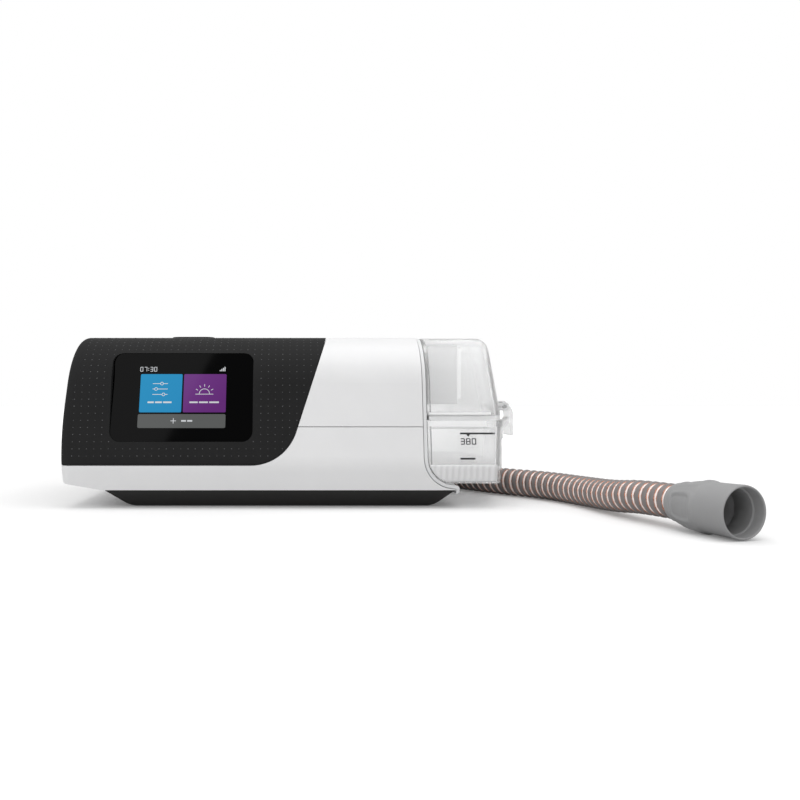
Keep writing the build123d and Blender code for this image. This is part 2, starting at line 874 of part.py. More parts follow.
def make_bay(parts):
    """Liner of the tub bay with its pale rim, the heater under the tub and the air port seals."""
    liner_inset = wall + soft_gap
    cavity_inset = liner_inset + liner_wall
    above = block((-far, -far, chassis_top + seat_gap), (far, far, far))
    liner = prism_x(side_outline(liner_inset), bay_back_x, mouth_x + seam_gap) & above
    rim = prism_y(rim_outline(0) - offset(front_outline(0), amount=seam_gap), -far, far)
    curl = block(
        (tongue_x + seam_gap, front_y + tray_front_inset, body_bottom - rim_width),
        (tongue_x + rim_width, rear_y - tray_front_inset, body_bottom + 1),
    )
    rim &= prism_x(side_outline(rim_inset), mouth_x, tongue_x + 5) + curl
    liner = liner + rim
    cavity = prism_x(side_outline(cavity_inset), bay_back_x + liner_wall, tongue_x + 10)
    cavity &= block((-far, -far, bay_floor_height), (far, far, far))
    liner -= cavity
    liner -= behind_tongue()
    ports = ((dry_port_y, dry_port_z), (outlet_port_y, outlet_z))
    seals = []
    inner_face = bay_back_x + liner_wall
    for y, z in ports:
        liner -= rod((bay_back_x - 5, y, z), (inner_face + 5, y, z), port_radius)
        seals.append(
            ring(
                (inner_face, y, z),
                (inner_face + port_seal_thickness, y, z),
                port_radius + port_seal_width,
                port_radius,
            ).solid()
        )
    parts["tub_bay"] = liner
    parts["port_seals"] = Compound(children=seals)
    left = (bay_back_x + mouth_x - heater_width) / 2
    insulation_top = bay_floor_height + insulation_thickness
    parts["heater_insulation"] = block(
        (left, -heater_depth / 2, bay_floor_height), (left + heater_width, heater_depth / 2, insulation_top)
    )
    parts["heater_plate"] = block(
        (left, -heater_depth / 2, insulation_top),
        (left + heater_width, heater_depth / 2, insulation_top + heater_thickness),
    )


# ---- Humidifier tub ----
def tub_form(inset, bottom, top):
    """Outer part of the tub's base between two heights, or the form of its inside."""
    bow = Pos(tub_end_x - tub_bow_radius, 0) * Circle(tub_bow_radius - inset)
    form = prism_x(side_outline(tub_face_inset + inset), tub_outer_x + inset, tub_end_x + 5)
    form &= prism_z(bow, bottom, top)
    if tub_edge_radius > inset:
        form = fillet(bow_edges(form, bottom, top), tub_edge_radius - inset)
    return form


def lid_form(inset):
    """Outer part of the tub's lid, which leans in at its bowed end, or the form of its inside."""
    bow = Pos(tub_end_x - tub_bow_radius, 0, lid_lean_height) * Circle(tub_bow_radius - inset)
    form = prism_x(side_outline(tub_face_inset + inset), tub_outer_x + inset, tub_end_x + 5)
    form &= extrude(bow, amount=body_top - lid_lean_height, taper=lid_lean)
    form = fillet(bow_edges(form, lid_lean_height, body_top), lid_edge_radius - inset)
    return form & block((0, -far, lid_bottom_height - inset), (far, far, far))


def bow_edges(solid, low, high):
    """Edges where the bowed end meets the front, the top and the back."""
    return solid.edges().filter_by(
        lambda e: e.center().X > tub_corner_x - tub_bow and low + 0.01 < e.center().Z < high - 0.01
    )


def tub_neck(inset, bottom, top):
    """Part of the tub that goes into the bay, or its inside."""
    section = side_outline(wall + soft_gap + liner_wall + tub_bay_gap + inset)
    neck = prism_x(section, tub_inner_x + inset, tub_outer_x + 2 * tub_wall)
    return neck & block((-far, -far, bottom), (far, far, top))


def make_tub(parts):
    """Clear base and lid with the seal between them, heat plate, air duct, hinge pin and latch."""
    base = tub_form(0, skirt_height, base_top_height)
    base -= block((-far, front_y + skirt_depth, skirt_height - 1), (far, far, tub_floor_height))
    flange = tub_form(-tub_flange, base_top_height - tub_flange_height, base_top_height)
    flange &= block((tub_outer_x, -far, 0), (far, far, far))
    flange &= prism_x(side_outline(tub_face_inset), 0, far)
    base += flange
    base += tub_neck(0, tub_floor_height, base_top_height)
    base_hollow = tub_form(tub_wall, tub_floor_height + tub_wall, base_top_height + 1)
    base_hollow += tub_neck(tub_wall, tub_floor_height + tub_wall, base_top_height + 1)
    corner = prism_y(rim_outline(tub_rim_gap), front_y - 5, front_y + skirt_depth)
    parts["tub_base"] = base - base_hollow - corner

    lid = lid_form(0) + tub_neck(0, lid_bottom_height, lid_top)
    lid -= lid_form(tub_wall) + tub_neck(tub_wall, lid_bottom_height - 1, lid_top - tub_wall)
    for y, z in ((dry_port_y, dry_port_z), (outlet_port_y, outlet_z)):
        lid -= rod((tub_inner_x - 1, y, z), (tub_inner_x + 2 * tub_wall, y, z), port_radius - 1)
    parts["tub_lid"] = lid
    make_tub_fittings(parts)


def make_tub_fittings(parts):
    """Seal, heat plate and air duct of the tub."""
    seal = tub_form(1, base_top_height, lid_bottom_height) + tub_neck(1, base_top_height, lid_bottom_height)
    seal -= tub_form(tub_wall, base_top_height - 1, lid_bottom_height + 1)
    seal -= tub_neck(tub_wall, base_top_height - 1, lid_bottom_height + 1)
    parts["tub_seal"] = seal
    left = (bay_back_x + mouth_x - heater_width) / 2
    parts["heat_plate"] = block(
        (left, -heater_depth / 2, tub_floor_height - plate_thickness),
        (left + heater_width, heater_depth / 2, tub_floor_height),
    )
    ceiling = lid_top - tub_wall
    duct_low = (duct_x - duct_width / 2, duct_y - duct_depth / 2, ceiling - duct_drop)
    duct_high = (duct_x + duct_width / 2, duct_y + duct_depth / 2, ceiling)
    duct = block(duct_low, duct_high)
    duct -= block(
        (duct_low[0] + duct_wall, duct_low[1] + duct_wall, duct_low[2] - 1),
        (duct_high[0] - duct_wall, duct_high[1] - duct_wall, duct_high[2] - duct_wall),
    )
    parts["lid_duct"] = duct


def add_lid_hinge(parts):
    """Knuckles on the base and the lid, in turn, round one pin at the tub's inner end."""
    pin_x = tub_inner_x + hinge_knuckle_radius + seat_gap
    pin_z = base_top_height + tub_seal_height / 2
    reach = 2.5 * hinge_knuckle_length
    owners = ("tub_lid", "tub_base", "tub_lid", "tub_base", "tub_lid")
    for index, owner in enumerate(owners):
        other = "tub_base" if owner == "tub_lid" else "tub_lid"
        low = -reach + index * hinge_knuckle_length + soft_gap / 2
        high = low + hinge_knuckle_length - soft_gap
        parts[other] -= rod(
            (pin_x, low - soft_gap / 2, pin_z),
            (pin_x, high + soft_gap / 2, pin_z),
            hinge_knuckle_radius + soft_gap,
        )
        parts[owner] += rod((pin_x, low, pin_z), (pin_x, high, pin_z), hinge_knuckle_radius)
    for owner in ("tub_lid", "tub_base"):
        parts[owner] -= rod((pin_x, -reach, pin_z), (pin_x, reach, pin_z), hinge_pin_radius + fit_gap)
    parts["tub_seal"] -= block(
        (tub_inner_x, -reach - soft_gap, 0), (pin_x + hinge_knuckle_radius + soft_gap, reach + soft_gap, far)
    )
    parts["lid_hinge_pin"] = rod((pin_x, -reach, pin_z), (pin_x, reach, pin_z), hinge_pin_radius)


def make_latch(parts):
    """Clear latch on a pin between two ears of the lid, hooked under a catch on the base."""
    pin_x = right_x - latch_pin_inset
    half = latch_width / 2
    outer_x = right_x - latch_wall / 2
    blade = FilletPolyline(
        (pin_x, latch_top_height - latch_wall / 2),
        (outer_x, latch_pin_height - latch_barrel_radius),
        (outer_x, latch_tip_height),
        radius=3 * latch_wall,
    )
    catch_top = latch_tip_height + catch_height
    hook_x = tub_end_x + catch_reach + latch_hook_gap + latch_wall / 2
    prong = FilletPolyline(
        (outer_x - latch_wall / 2, latch_pin_height - 3 * latch_barrel_radius),
        (hook_x, catch_top),
        (hook_x, latch_hook_height + latch_wall / 2),
        (tub_end_x + latch_hook_gap + latch_wall / 2, latch_hook_height + latch_wall / 2),
        radius=[2 * latch_wall, latch_wall / 3],
    )
    latch = prism_y(make_face(offset(blade, amount=latch_wall / 2)), -half, half)
    latch += prism_y(make_face(offset(prong, amount=latch_wall / 2)), -catch_width / 2, catch_width / 2)
    latch += rod((pin_x, -half, latch_pin_height), (pin_x, half, latch_pin_height), latch_barrel_radius)
    reach = half + soft_gap + latch_ear_width
    pin_ends = ((pin_x, -reach, latch_pin_height), (pin_x, reach, latch_pin_height))
    parts["tub_latch"] = latch - rod(*pin_ends, latch_pin_radius + fit_gap)
    parts["latch_pin"] = rod(*pin_ends, latch_pin_radius)
    solid_lid = lid_form(tub_wall / 2)
    for side in (-1, 1):
        ear = block(
            (tub_corner_x, half + soft_gap, latch_pin_height - latch_barrel_radius),
            (pin_x, reach, latch_pin_height + latch_barrel_radius),
        )
        ear += rod(
            (pin_x, half + soft_gap, latch_pin_height), (pin_x, reach, latch_pin_height), latch_barrel_radius
        )
        ear -= rod((pin_x, 0, latch_pin_height), (pin_x, reach, latch_pin_height), latch_pin_radius + fit_gap)
        ear -= solid_lid
        parts["tub_lid"] += ear if side > 0 else mirror(ear, about=Plane.XZ)
    catch = block(
        (tub_corner_x, -catch_width / 2, latch_tip_height),
        (tub_end_x + catch_reach, catch_width / 2, catch_top),
    )
    parts["tub_base"] += catch - tub_form(tub_wall / 2, skirt_height, base_top_height)


# ---- Blower ----
def make_blower(parts):
    """Blower housing in two halves on soft mounts, impeller on its shaft, bearings, motor and air duct."""
    centre = (blower_x, blower_y)
    top = blower_bottom + blower_height
    split = blower_bottom + blower_height / 2
    bend_x = bay_back_x - nozzle_radius - fitting_wall
    nozzle_x = bend_x - nozzle_radius
    nozzle_start = (blower_x, dry_port_y, split)
    nozzle_end = (nozzle_x, dry_port_y, split)
    volute = rod((*centre, blower_bottom), (*centre, top), blower_radius)
    volute += rod(nozzle_start, nozzle_end, nozzle_radius)
    hollow = rod(
        (*centre, blower_bottom + blower_wall), (*centre, top - blower_wall), blower_radius - blower_wall
    )
    hollow += rod(nozzle_start, nozzle_end, nozzle_radius - nozzle_wall)
    volute -= hollow
    inlet_radius = impeller_hub_radius + 4
    volute -= rod((*centre, 0), (*centre, blower_bottom + 2 * blower_wall), inlet_radius)
    parts["blower_lower"] = volute & block((-far, -far, -far), (far, far, split))
    upper = volute & block((-far, -far, split), (far, far, far))
    seat_low = top - blower_wall
    upper += rod((*centre, seat_low - bearing_height / 2), (*centre, seat_low), bearing_radius + blower_wall)
    upper -= rod((*centre, 0), (*centre, top + 1), bearing_radius + fit_gap)
    parts["blower_upper"] = upper

    motor_top = top + motor_height
    cap = ring((*centre, top), (*centre, motor_top), motor_radius, motor_radius - motor_wall)
    cap += ring(
        (*centre, motor_top - bearing_height), (*centre, motor_top), motor_radius, bearing_radius + fit_gap
    )
    parts["motor_cap"] = cap
    parts["motor_stator"] = ring(
        (*centre, top + motor_wall),
        (*centre, motor_top - bearing_height - motor_wall),
        motor_radius - motor_wall - fit_gap,
        motor_radius - motor_wall - stator_thickness,
    ) + ring(
        (*centre, top + seat_gap),
        (*centre, top + motor_wall),
        motor_radius - motor_wall - fit_gap,
        bearing_radius * 2,
    )
    bearing_spans = (
        (top - bearing_height, top),
        (motor_top - bearing_height, motor_top),
    )
    parts["blower_bearings"] = Compound(
        children=[
            ring((*centre, low), (*centre, high), bearing_radius, shaft_radius + fit_gap).solid()
            for low, high in bearing_spans
        ]
    )
    impeller_top = seat_low - bearing_height / 2 - 1
    impeller_bottom = impeller_top - impeller_height
    shaft = rod((*centre, impeller_bottom), (*centre, motor_top + 1), shaft_radius)
    shaft += rod(
        (*centre, top + 2 * motor_wall), (*centre, motor_top - bearing_height - 2 * motor_wall), magnet_radius
    )
    parts["rotor_shaft"] = shaft
    disc = rod((*centre, impeller_top - blade_thickness), (*centre, impeller_top), impeller_radius)
    disc += rod((*centre, impeller_bottom), (*centre, impeller_top), impeller_hub_radius)
    blade_arc = ThreePointArc(
        (impeller_hub_radius - 1, 0),
        ((impeller_hub_radius + impeller_radius) / 2, blade_bow),
        (impeller_radius - blade_thickness, 0),
    )
    blade = prism_z(make_face(offset(blade_arc, amount=blade_thickness / 2)), impeller_bottom, impeller_top)
    blade &= rod((0, 0, 0), (0, 0, far), impeller_radius)
    for index in range(impeller_blades):
        disc += Pos(*centre) * Rot(Z=360 * index / impeller_blades) * blade
    parts["impeller"] = disc - rod((*centre, 0), (*centre, far), shaft_radius + fit_gap)
    parts["blower_duct"] = elbow_pipe(
        [
            (nozzle_x + seat_gap, dry_port_y, split),
            (bend_x, dry_port_y, split),
            (bend_x, dry_port_y, dry_port_z),
            (bay_back_x - seat_gap, dry_port_y, dry_port_z),
        ],
        nozzle_radius,
        nozzle_radius - nozzle_wall,
    )
    mounts = []
    for index in range(3):
        turn = math.radians(120 * index + 60)
        x = blower_x + mount_circle_radius * math.cos(turn)
        y = blower_y + mount_circle_radius * math.sin(turn)
        mounts.append(rod((x, y, chassis_top), (x, y, blower_bottom), mount_radius).solid())
    parts["blower_mounts"] = Compound(children=mounts)


# ---- Electronics ----
def make_electronics(parts):
    """Main board with its parts, and the ribbon to the display."""
    board_back = board_y + board_thickness
    top = board_bottom + board_height
    board = block((board_left, board_y, board_bottom), (board_right, board_back, top))

    def on_board(share_along, share_up, width, height, depth):
        """Box on the back of the board, its corner at a share of the board's width and height."""
        x = board_left + share_along * (board_right - board_left)
        z = board_bottom + share_up * board_height
        return block((x, board_back, z), (x + width, board_back + depth, z + height))

    for place in chip_places:
        board += on_board(*place)
    parts["main_board"] = board
    parts["wireless_module"] = on_board(*wireless_place)
    x = board_left + buzzer_share[0] * (board_right - board_left)
    z = board_bottom + buzzer_share[1] * board_height
    parts["buzzer"] = rod((x, board_back, z), (x, board_back + buzzer_height, z), buzzer_radius)
    sensor = on_board(*sensor_share, sensor_size, sensor_size, sensor_height)
    middle = sensor.center()
    sensor += rod(middle, (middle.X, board_back + 2 * sensor_height, middle.Z), sensor_port_radius)
    parts["pressure_sensor"] = sensor
    plane = window_plane()
    back = -window_thickness - display_thickness
    low = plane.origin + plane.y_dir * (-display_height / 4) + plane.z_dir * back
    high = low + plane.y_dir * ribbon_thickness
    strip = Polyline((low.Y, low.Z), (high.Y, high.Z), (board_y, high.Z), (board_y, low.Z), close=True)
    parts["ribbon_cable"] = prism_x(
        make_face(strip), window_centre_x - ribbon_width / 2, window_centre_x + ribbon_width / 2
    )


# ---- Hose ----
def bend_radii(route):
    """Radius of each bend, as large as its two runs allow."""
    radii = []
    for before, here, after in zip(route, route[1:], route[2:]):
        arriving = Vector(*here) - Vector(*before)
        leaving = Vector(*after) - Vector(*here)
        turn = math.radians(arriving.get_angle(leaving))
        radii.append(0.45 * min(arriving.length, leaving.length) / math.tan(turn / 2))
    return radii


def hose_tube(route, name):
    """Plain tube of straight runs and tangent arcs along a route."""
    radii = bend_radii(route)
    path = FilletPolyline(*route, radius=radii)
    start = Plane(origin=route[0], z_dir=Vector(*route[1]) - Vector(*route[0]))
    tube = sweep(start * Circle(hose_diameter / 2), path=path)
    expected = math.pi * hose_diameter**2 / 4 * path.length
    print(name, "length", round(path.length, 1), "radii", [round(r) for r in radii])
    print(name, "volume", round(tube.volume), "expected", round(expected))
    return tube, path.length


def mask_cuff_profile():
    """Half section of the soft mask-end cuff, as (distance from the axis, distance from its back end)."""
    length, mouth, bore = mask_cuff_length, mask_cuff_radius, mask_cuff_bore
    collar = hose_diameter / 2 + mask_cuff_skin
    bore_start = length - mask_bore_depth
    outline = Polyline(
        (hose_bore, 0),
        (collar, 0),
        (collar + mask_cuff_neck_rise, mask_cuff_neck_reach),
        (mouth - mask_cuff_skin, mask_cuff_swell_start),
        (mouth, mask_cuff_swell_end),
        (mouth, mask_cuff_grip_end),
        (mouth - mask_cuff_step, mask_cuff_grip_end + mask_cuff_step_run),
        (mouth - mask_cuff_step / 2, length - mask_cuff_lip),
        (mouth - mask_cuff_skin, length),
        (bore + mask_bore_bevel, length),
        (bore, length - mask_bore_bevel),
        (bore, bore_start),
        (hose_bore + 1, bore_start),
        (hose_bore + 1, bore_start - mask_bore_step),
        (hose_bore, bore_start - mask_bore_step),
        close=True,
    )
    return make_face(outline)


def make_hose(parts):
    """Cuffs and plain solids of the hose, with its put-away length as one coil behind the machine."""
    cuff_end = lead_route[0][1]
    cuff_start = rear_y - outlet_recess_depth + soft_gap
    outlet_end = rear_y - outlet_end_inset
    axis_points = [(outlet_x, y, outlet_z) for y in (cuff_start, outlet_end + soft_gap, cuff_end)]
    cuff = rod(axis_points[0], (outlet_x, cuff_end - machine_cuff_taper, outlet_z), machine_cuff_radius)
    taper = Plane(origin=(outlet_x, cuff_end - machine_cuff_taper, outlet_z), z_dir=(0, 1, 0))
    cuff += extrude(
        taper * Circle(machine_cuff_radius),
        amount=machine_cuff_taper,
        taper=math.degrees(math.atan2(machine_cuff_radius - machine_cuff_neck, machine_cuff_taper)),
    )
    cuff -= rod(axis_points[0], axis_points[1], outlet_radius + fit_gap)
    cuff -= rod(axis_points[1], axis_points[2], hose_bore)
    parts["machine_cuff"] = cuff

    lead, lead_length = hose_tube(lead_route, "hose_lead")
    run, run_length = hose_tube(run_route, "hose_run")
    parts["hose_lead"], parts["hose_run"] = lead, run
    half = hose_diameter / 2
    x, y = coil_centre
    height = hose_diameter + (coil_levels - 1) * coil_turn_rise
    parts["hose_coil"] = ring((x, y, 0), (x, y, height), coil_turn_radius + half, coil_turn_radius - half)

    back = Vector(*run_route[-1])
    heading = Vector(*run_route[-1]) - Vector(*run_route[-2])
    axis = Vector(heading.X, heading.Y, 0).normalized()
    cuff = revolve(Plane.XZ * mask_cuff_profile(), axis=Axis.Z)
    parts["mask_cuff"] = Plane(origin=back, z_dir=axis).location * cuff
    mouth = back + axis * mask_cuff_length
    print("mask cuff mouth", mouth, "axis", axis)


# ---- Output ----
def build():
    """Makes every node and writes one file for each."""
    parts = {}
    make_housing(parts)
    make_base(parts)
    make_bay(parts)
    make_tub(parts)
    add_lid_hinge(parts)
    make_latch(parts)
    make_blower(parts)
    make_electronics(parts)
    make_hose(parts)
    os.makedirs("parts", exist_ok=True)
    for name, shape in parts.items():
        export_step(shape, os.path.join("parts", name + ".step"))
        box = shape.bounding_box()
        print(name, len(shape.solids()), round(shape.volume), box.min, box.max)


build()
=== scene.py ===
"""Looks of a bedside airway pressure machine with a clear humidifier tub and a heated hose."""

import json
import math

import bmesh
import bpy
from mathutils import Euler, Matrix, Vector
from mathutils.bvhtree import BVHTree

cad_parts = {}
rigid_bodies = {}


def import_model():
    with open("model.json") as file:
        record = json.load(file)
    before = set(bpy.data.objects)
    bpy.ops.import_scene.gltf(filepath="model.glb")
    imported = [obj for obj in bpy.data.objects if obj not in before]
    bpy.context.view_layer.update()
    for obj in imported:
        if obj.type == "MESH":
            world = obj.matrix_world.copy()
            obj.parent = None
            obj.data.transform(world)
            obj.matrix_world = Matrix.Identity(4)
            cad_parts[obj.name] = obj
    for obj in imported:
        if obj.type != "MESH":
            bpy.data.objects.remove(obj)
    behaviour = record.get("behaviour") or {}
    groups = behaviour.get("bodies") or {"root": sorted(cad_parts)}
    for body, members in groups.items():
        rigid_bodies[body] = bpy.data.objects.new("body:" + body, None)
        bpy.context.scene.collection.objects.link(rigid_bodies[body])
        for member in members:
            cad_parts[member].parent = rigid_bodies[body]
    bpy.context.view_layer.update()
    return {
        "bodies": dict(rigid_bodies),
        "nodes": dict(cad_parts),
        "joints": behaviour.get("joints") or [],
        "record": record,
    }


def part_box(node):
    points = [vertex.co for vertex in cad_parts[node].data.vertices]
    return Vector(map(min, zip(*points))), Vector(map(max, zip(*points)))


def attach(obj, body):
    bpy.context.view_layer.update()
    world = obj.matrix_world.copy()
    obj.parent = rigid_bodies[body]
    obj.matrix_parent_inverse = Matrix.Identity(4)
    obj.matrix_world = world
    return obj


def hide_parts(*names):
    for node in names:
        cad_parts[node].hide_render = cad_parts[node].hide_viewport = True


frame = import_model()
nodes = frame["nodes"]
mm = 0.001

# ---- Camera ----
view_data = bpy.data.cameras.new("view")
view_data.sensor_width = 36
view_data.lens = 37.35
view_data.shift_x = 0.125
view_data.clip_start = 0.01
view = bpy.data.objects.new("view", view_data)
view.location = (0, -0.51425, 0.0585)
view.rotation_euler = (math.pi / 2, 0, 0)
bpy.context.collection.objects.link(view)
bpy.context.scene.camera = view
bpy.context.scene.view_settings.view_transform = "Standard"

# ---- Hose and dots: sizes in metres, turns in degrees and routes in millimetres ----
dot_pitch = 3.9 * mm
hose_radius = 8.25 * mm
hose_valley = 7.05 * mm
hose_pitch = 5.15 * mm
coil_radius = 82.5 * mm
coil_middle = Vector((-74.5, 195.0, 0)) * mm
coil_end_turn = 990.0
level_height = [41.45 * mm, 24.85 * mm, 8.25 * mm]
fall_starts = [235.0, 595.0]
fall_turn = 110.0
lead_route = [(8.0, 91.0, 60.0), (8.0, 120.0, 60.0), (7.8, 154.0, 50.5), (8.0, 187.0, 42.5)]
run_route = [
    (-74.5, 112.5, 8.25),
    (-31.5, 110.4, 8.25),
    (8.3, 106.9, 8.25),
    (43.5, 99.4, 8.25),
    (71.5, 83.9, 8.25),
    (91.6, 61.6, 8.25),
    (103.0, 36.0, 8.25),
    (121.5, 5.0, 8.25),
    (146.0, -24.0, 8.25),
    (157.0, -57.0, 8.25),
    (161.5, -92.0, 9.4),
    (165.7, -112.4, 11.9),
    (172.8, -135.9, 11.9),
]


# ---- Node trees ----
def feed(tree, socket, value):
    """Links an input to another socket, or gives it a plain value."""
    if isinstance(value, bpy.types.NodeSocket):
        tree.links.new(value, socket)
    else:
        socket.default_value = value


def put(tree, kind, links=None, **settings):
    """New node in a tree; links maps its input names to sockets or plain values."""
    node = tree.nodes.new(kind)
    for name, value in settings.items():
        setattr(node, name, value)
    for name, value in (links or {}).items():
        feed(tree, node.inputs[name], value)
    return node


def set_inputs(tree, node, **values):
    """Sets or links a node's inputs by name, with _ for a blank."""
    for name, value in values.items():
        feed(tree, node.inputs[name.replace("_", " ")], value)


def start_group(name, inputs, outputs):
    """Empty shader group with named inputs, each with its default value, and named outputs."""
    tree = bpy.data.node_groups.new(name, "ShaderNodeTree")
    for label, kind, value in inputs:
        socket = tree.interface.new_socket(name=label, in_out="INPUT", socket_type=kind)
        if value is not None:
            socket.default_value = value
    for label, kind in outputs:
        tree.interface.new_socket(name=label, in_out="OUTPUT", socket_type=kind)
    return tree, tree.nodes.new("NodeGroupInput").outputs, tree.nodes.new("NodeGroupOutput")


def noise(tree, place, scale, detail=3.0, roughness=0.55):
    """Noise value over a place."""
    links = {"Vector": place, "Scale": scale, "Detail": detail, "Roughness": roughness}
    return put(tree, "ShaderNodeTexNoise", links).outputs["Fac"]


def spread(tree, value, low, high, to_low=0.0, to_high=1.0):
    """Value mapped from one range to another and held inside it."""
    links = {"Value": value, "From Min": low, "From Max": high, "To Min": to_low, "To Max": to_high}
    return put(tree, "ShaderNodeMapRange", links).outputs["Result"]


def reckon(tree, operation, first, second):
    """Arithmetic on two values."""
    return put(tree, "ShaderNodeMath", {0: first, 1: second}, operation=operation).outputs[0]


def blend_colours(tree, share, first, second):
    """Two colours mixed by a share, on the mix node's colour sockets."""
    node = put(tree, "ShaderNodeMix", data_type="RGBA", blend_type="MIX")
    for index, value in ((0, share), (6, first), (7, second)):
        feed(tree, node.inputs[index], value)
    return node.outputs[2]


def make_moulded_grain():
    """Fine moulded texture, with a slow unevenness in tone and gloss."""
    tree, given, result = start_group(
        "moulded_grain",
        [("Place", "NodeSocketVector", None), ("Grain Size", "NodeSocketFloat", 3000.0)],
        [("Height", "NodeSocketFloat"), ("Tone", "NodeSocketFloat")],
    )
    fine = noise(tree, given["Place"], given["Grain Size"], 2.0, 0.5)
    links = {"Vector": given["Place"], "Scale": given["Grain Size"]}
    pits = put(tree, "ShaderNodeTexVoronoi", links)
    height = reckon(tree, "ADD", fine, reckon(tree, "MULTIPLY", pits.outputs["Distance"], 0.5))
    slow = noise(tree, given["Place"], 35.0, 4.0, 0.6)
    tree.links.new(height, result.inputs["Height"])
    tree.links.new(spread(tree, slow, 0.3, 0.7), result.inputs["Tone"])
    return tree


def make_settled_dust():
    """Mask of the little dust that lies on faces that look up."""
    tree, given, result = start_group(
        "settled_dust",
        [("Place", "NodeSocketVector", None), ("Amount", "NodeSocketFloat", 0.1)],
        [("Mask", "NodeSocketFloat")],
    )
    facing = put(tree, "ShaderNodeNewGeometry").outputs["Normal"]
    up = put(tree, "ShaderNodeSeparateXYZ", {"Vector": facing}).outputs["Z"]
    upward = spread(tree, up, 0.5, 1.0)
    specks = spread(tree, noise(tree, given["Place"], 900.0, 5.0, 0.7), 0.45, 0.75)
    patch = spread(tree, noise(tree, given["Place"], 28.0), 0.35, 0.7)
    mask = reckon(tree, "MULTIPLY", reckon(tree, "MULTIPLY", specks, patch), upward)
    tree.links.new(reckon(tree, "MULTIPLY", mask, given["Amount"]), result.inputs["Mask"])
    return tree


def make_hairline_marks():
    """Mask of faint wiping marks, long one way and narrow the other."""
    tree, given, result = start_group(
        "hairline_marks",
        [("Place", "NodeSocketVector", None), ("Turn", "NodeSocketFloat", 0.5)],
        [("Mask", "NodeSocketFloat")],
    )
    turn = put(tree, "ShaderNodeCombineXYZ", {"Z": given["Turn"]}).outputs[0]
    stretch = (40.0, 2600.0, 900.0)
    links = {"Vector": given["Place"], "Rotation": turn, "Scale": stretch}
    laid = put(tree, "ShaderNodeMapping", links)
    streak = noise(tree, laid.outputs[0], 1.0, 2.0, 0.6)
    patch = spread(tree, noise(tree, given["Place"], 45.0), 0.45, 0.65)
    mask = reckon(tree, "MULTIPLY", spread(tree, streak, 0.58, 0.75), patch)
    tree.links.new(mask, result.inputs["Mask"])
    return tree


moulded_grain = make_moulded_grain()
settled_dust = make_settled_dust()
hairline_marks = make_hairline_marks()

black = (0.0, 0.0, 0.0, 1.0)
white = (1.0, 1.0, 1.0, 1.0)
dust_colour = (0.55, 0.54, 0.52, 1.0)


def start_material(name):
    """New material, with its tree, its Principled shader and the place on the object."""
    material = bpy.data.materials.new(name)
    material.use_nodes = True
    tree = material.node_tree
    tree.nodes.clear()
    result = tree.nodes.new("ShaderNodeOutputMaterial")
    shader = tree.nodes.new("ShaderNodeBsdfPrincipled")
    tree.links.new(shader.outputs[0], result.inputs[0])
    place = put(tree, "ShaderNodeTexCoord").outputs["Object"]
    return material, tree, shader, place


def use_group(tree, group, **values):
    """Group placed in a material, with its own values."""
    node = put(tree, "ShaderNodeGroup", node_tree=group)
    set_inputs(tree, node, **values)
    return node.outputs


def shade(colour, factor):
    """Colour made lighter or darker by a factor."""
    return (*[min(1.0, channel * factor) for channel in colour], 1.0)


def add_bump(tree, strength, distance, height):
    """Normal of a bump in a material, from its height."""
    links = {"Strength": strength, "Distance": distance, "Height": height}
    return put(tree, "ShaderNodeBump", links).outputs[0]


def moulded(name, colour, roughness, grain, depth, uneven, dust, level=0.5):
    """Moulded plastic, rubber or film with grain, uneven tone and gloss, wiping marks and dust."""
    material, tree, shader, place = start_material(name)
    surface = use_group(tree, moulded_grain, Place=place, Grain_Size=grain)
    marks = use_group(tree, hairline_marks, Place=place, Turn=0.6)["Mask"]
    film = use_group(tree, settled_dust, Place=place, Amount=dust)["Mask"]
    dark, light = shade(colour, 1 - uneven), shade(colour, 1 + uneven)
    tone = blend_colours(tree, surface["Tone"], dark, light)
    dusted = blend_colours(tree, film, tone, dust_colour)
    rough = spread(tree, surface["Tone"], 0.0, 1.0, roughness * 0.88, roughness * 1.12)
    rough = reckon(tree, "ADD", rough, reckon(tree, "MULTIPLY", marks, 0.06))
    set_inputs(
        tree,
        shader,
        Base_Color=dusted,
        Roughness=rough,
        Normal=add_bump(tree, 0.35, depth, surface["Height"]),
        Specular_IOR_Level=level,
    )
    return material


def clear_plastic(name, tint, roughness, clearness, ior):
    """Milky clear plastic with flow marks, wiping marks and fine scratches in its gloss."""
    material, tree, shader, place = start_material(name)
    marks = use_group(tree, hairline_marks, Place=place, Turn=0.9)["Mask"]
    surface = use_group(tree, moulded_grain, Place=place, Grain_Size=700.0)
    rough = spread(tree, surface["Tone"], 0.0, 1.0, roughness * 0.7, roughness * 1.5)
    rough = reckon(tree, "ADD", rough, reckon(tree, "MULTIPLY", marks, 0.12))
    set_inputs(
        tree,
        shader,
        Base_Color=tint,
        Roughness=rough,
        Transmission_Weight=clearness,
        IOR=ior,
        Normal=add_bump(tree, 0.08, 0.0002, surface["Tone"]),
    )
    return material


def worked_metal(name, colour, roughness, stretch):
    """Metal with fine lines from rolling or turning."""
    material, tree, shader, place = start_material(name)
    laid = put(tree, "ShaderNodeMapping", {"Vector": place, "Scale": stretch}).outputs[0]
    lines = noise(tree, laid, 1.0, 3.0, 0.6)
    stain = noise(tree, place, 120.0, 4.0, 0.6)
    stained = spread(tree, stain, 0.3, 0.7)
    tone = blend_colours(tree, stained, shade(colour, 0.86), shade(colour, 1.06))
    rough = spread(tree, lines, 0.3, 0.7, roughness * 0.75, roughness * 1.3)
    bump = add_bump(tree, 0.2, 0.00001, lines)
    set_inputs(tree, shader, Base_Color=tone, Metallic=1.0, Roughness=rough, Normal=bump)
    return material


